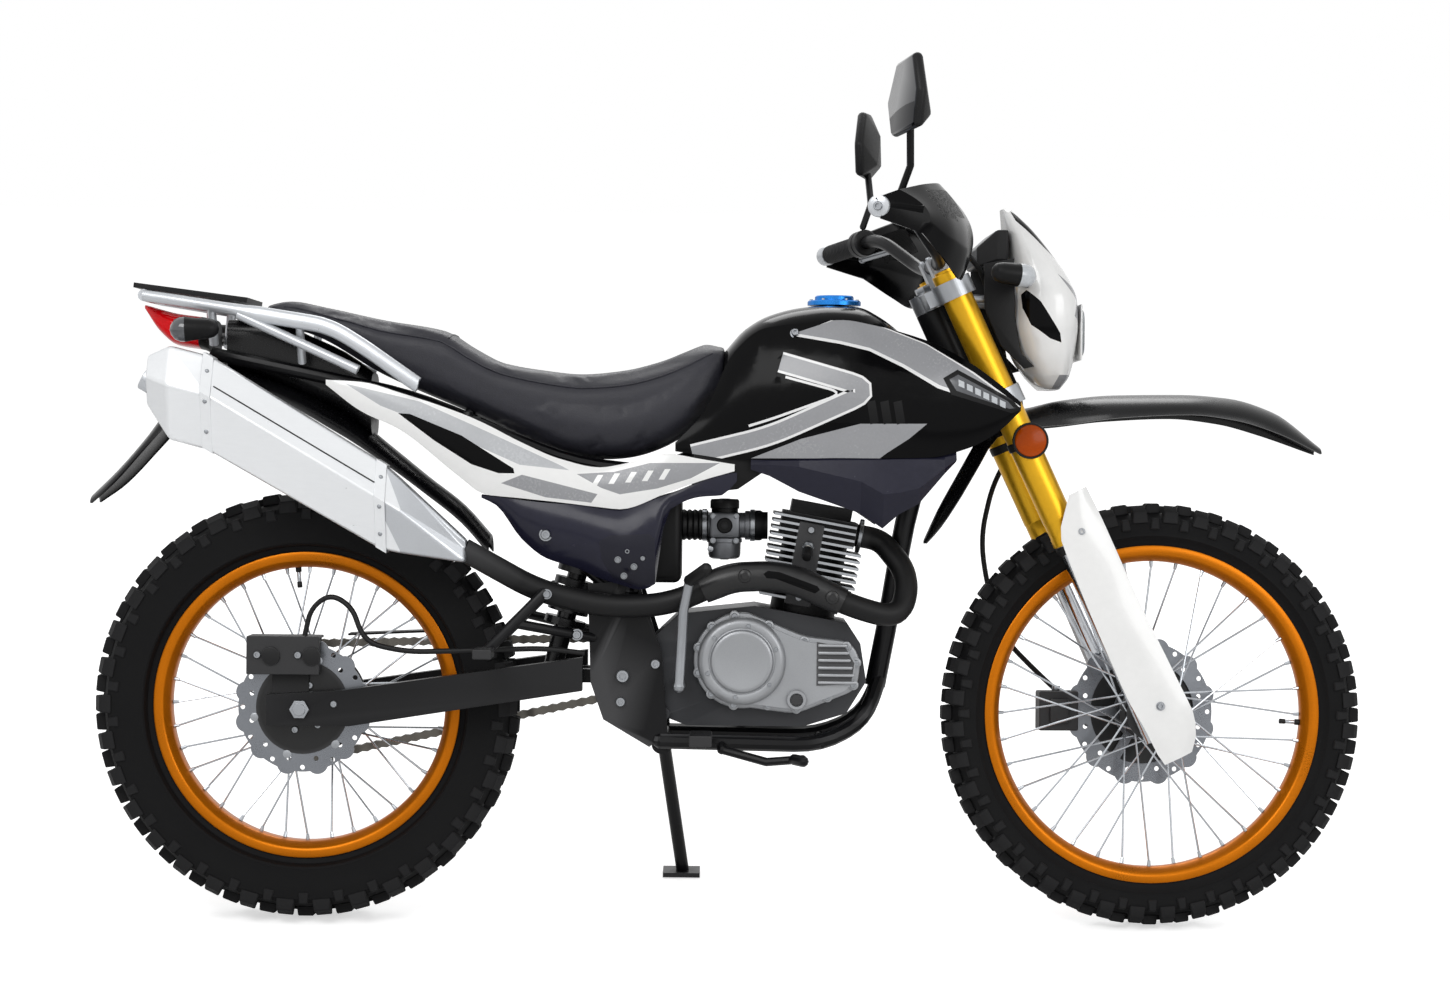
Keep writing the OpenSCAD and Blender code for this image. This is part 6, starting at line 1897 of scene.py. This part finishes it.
@dataclass
class Studio:
    """Plain floor, soft light and the photograph's viewing angle."""

    width: float = 1450.0
    height: float = 1000.0
    distance: float = 5200.0
    mm_per_pixel: float = 1.652
    eye_x: float = -11.7
    eye_z: float = 779.0
    horizon_pixel: float = 450.0
    roll: float = 0.579
    sensor: float = 36.0
    sky_level: float = 0.52
    floor_glow: float = 0.56
    floor_half: float = 14.0
    floor_drop: float = 0.0015

    def camera(self) -> None:
        """Stand the camera square to the bike's side, a little above its middle."""
        focal = self.distance / self.mm_per_pixel
        lens = bpy.data.cameras.new("camera")
        lens.sensor_width = self.sensor
        lens.lens = self.sensor * focal / self.width
        lens.clip_end = 60
        eye = bpy.data.objects.new("camera", lens)
        bpy.context.scene.collection.objects.link(eye)
        dip = atan((self.height / 2 - self.horizon_pixel) / focal)
        look = Matrix.Rotation(radians(-self.roll), 4, "Y") @ Matrix.Rotation(pi / 2 - dip, 4, "X")
        at = PARK @ Vector((self.eye_x, -self.distance, self.eye_z))
        turn = Matrix.Rotation(-radians(STANCE.lean), 4, "X") @ look
        eye.matrix_world = Matrix.Translation(at) @ turn
        bpy.context.scene.camera = eye

    def lamp(self, name: str, at: Point, target: Point, size: float, watts: float) -> None:
        """Hang one soft lamp.

        Args:
            name: name of the lamp.
            at: where it hangs, in metres.
            target: what it points at.
            size: its width.
            watts: its power.
        """
        data = bpy.data.lights.new(name, "AREA")
        data.shape = "RECTANGLE"
        data.size, data.size_y = size, size * 0.7
        data.energy = watts
        lamp = bpy.data.objects.new(name, data)
        bpy.context.scene.collection.objects.link(lamp)
        aimed = (Vector(target) - Vector(at)).to_track_quat("-Z", "Y").to_matrix().to_4x4()
        lamp.matrix_world = Matrix.Translation(at) @ aimed

    def floor(self) -> None:
        """Lay the pale floor."""
        base = Shape()
        bmesh.ops.create_grid(base.bm, x_segments=4, y_segments=4, size=self.floor_half)
        mesh = bpy.data.meshes.new("floor")
        base.bm.to_mesh(mesh)
        base.bm.free()
        ground = bpy.data.objects.new("floor", mesh)
        bpy.context.scene.collection.objects.link(ground)
        ground.location.z = -self.floor_drop
        paint = bpy.data.materials.new("pale_floor")
        paint.use_nodes = True
        tree = paint.node_tree
        tree.nodes.clear()
        place = add(tree, "TexCoord").outputs["Object"]
        mottle = add(tree, "TexNoise", {"Vector": place, "Scale": 1.2})
        tone = add(tree, "MixRGB", {"Fac": mottle.outputs["Fac"], "Color1": linear("#f2f2f2"),
                                              "Color2": linear("#f6f6f6")})
        matt = add(tree, "BsdfDiffuse", {"Color": tone.outputs[0]})
        ray = add(tree, "LightPath")
        seen = add(tree, "Math", {0: ray.outputs["Is Camera Ray"], 1: self.floor_glow}, operation="MULTIPLY")
        glow = add(tree, "Emission", {"Color": linear("#ffffff"), "Strength": seen.outputs[0]})
        both = add(tree, "AddShader", {0: matt.outputs[0], 1: glow.outputs[0]})
        add(tree, "OutputMaterial", {"Surface": both.outputs[0]})
        mesh.materials.append(paint)

    def build(self) -> None:
        """Set floor, sky, lamps and camera."""
        self.camera()
        self.floor()
        scene = bpy.context.scene
        scene.view_settings.view_transform = "Standard"
        sky = bpy.data.worlds.new("studio")
        sky.use_nodes = True
        tree = sky.node_tree
        tree.nodes.clear()
        ray = add(tree, "LightPath")
        seen = add(tree, "Math", {0: ray.outputs["Is Camera Ray"], 1: ray.outputs["Is Glossy Ray"]},
                   operation="MAXIMUM")
        seen = add(tree, "Math", {0: seen.outputs[0], 1: ray.outputs["Is Transmission Ray"]},
                   operation="MAXIMUM")
        level = add(tree, "MapRange", {"Value": seen.outputs[0], "To Min": self.sky_level, "To Max": 1.0})
        glow = add(tree, "Background", {"Color": (1, 1, 1, 1), "Strength": level.outputs[0]})
        add(tree, "OutputWorld", {"Surface": glow.outputs[0]})
        scene.world = sky
        self.lamp("key", (-1.6, -3.2, 3.6), (0, -0.1, 0.6), 2.6, 70)
        self.lamp("fill", (2.6, -3.0, 2.2), (0.2, -0.1, 0.6), 2.2, 36)
        self.lamp("back", (0.3, 3.2, 3.4), (0, 0, 0.7), 2.6, 55)


def main() -> None:
    """Build the motorcycle and its studio."""
    logging.basicConfig(level=logging.INFO, format="%(name)s: %(message)s")
    Studio().build()
    front = STEERED @ Matrix.Translation(STANCE.front_axle)
    rear = PARK @ Matrix.Translation(STANCE.rear_axle)
    Wheel("front", front, tyre_r=348, tyre_w=84, rim_r=278, rim_w=54, lugs=40, flange_y=32, disc_y=62, disc_r=125,
          valve_angle=-3).build()
    Wheel("rear", rear, tyre_r=350, tyre_w=118, rim_r=252, rim_w=66, lugs=34, flange_y=40, disc_y=-80.5, disc_r=112,
          valve_angle=95).build()
    for assembly in (Fork(), Cockpit(), Nose(), Engine(), Chassis(), Bodywork(), Tail()):
        assembly.build()


if __name__ == "__main__":
    main()
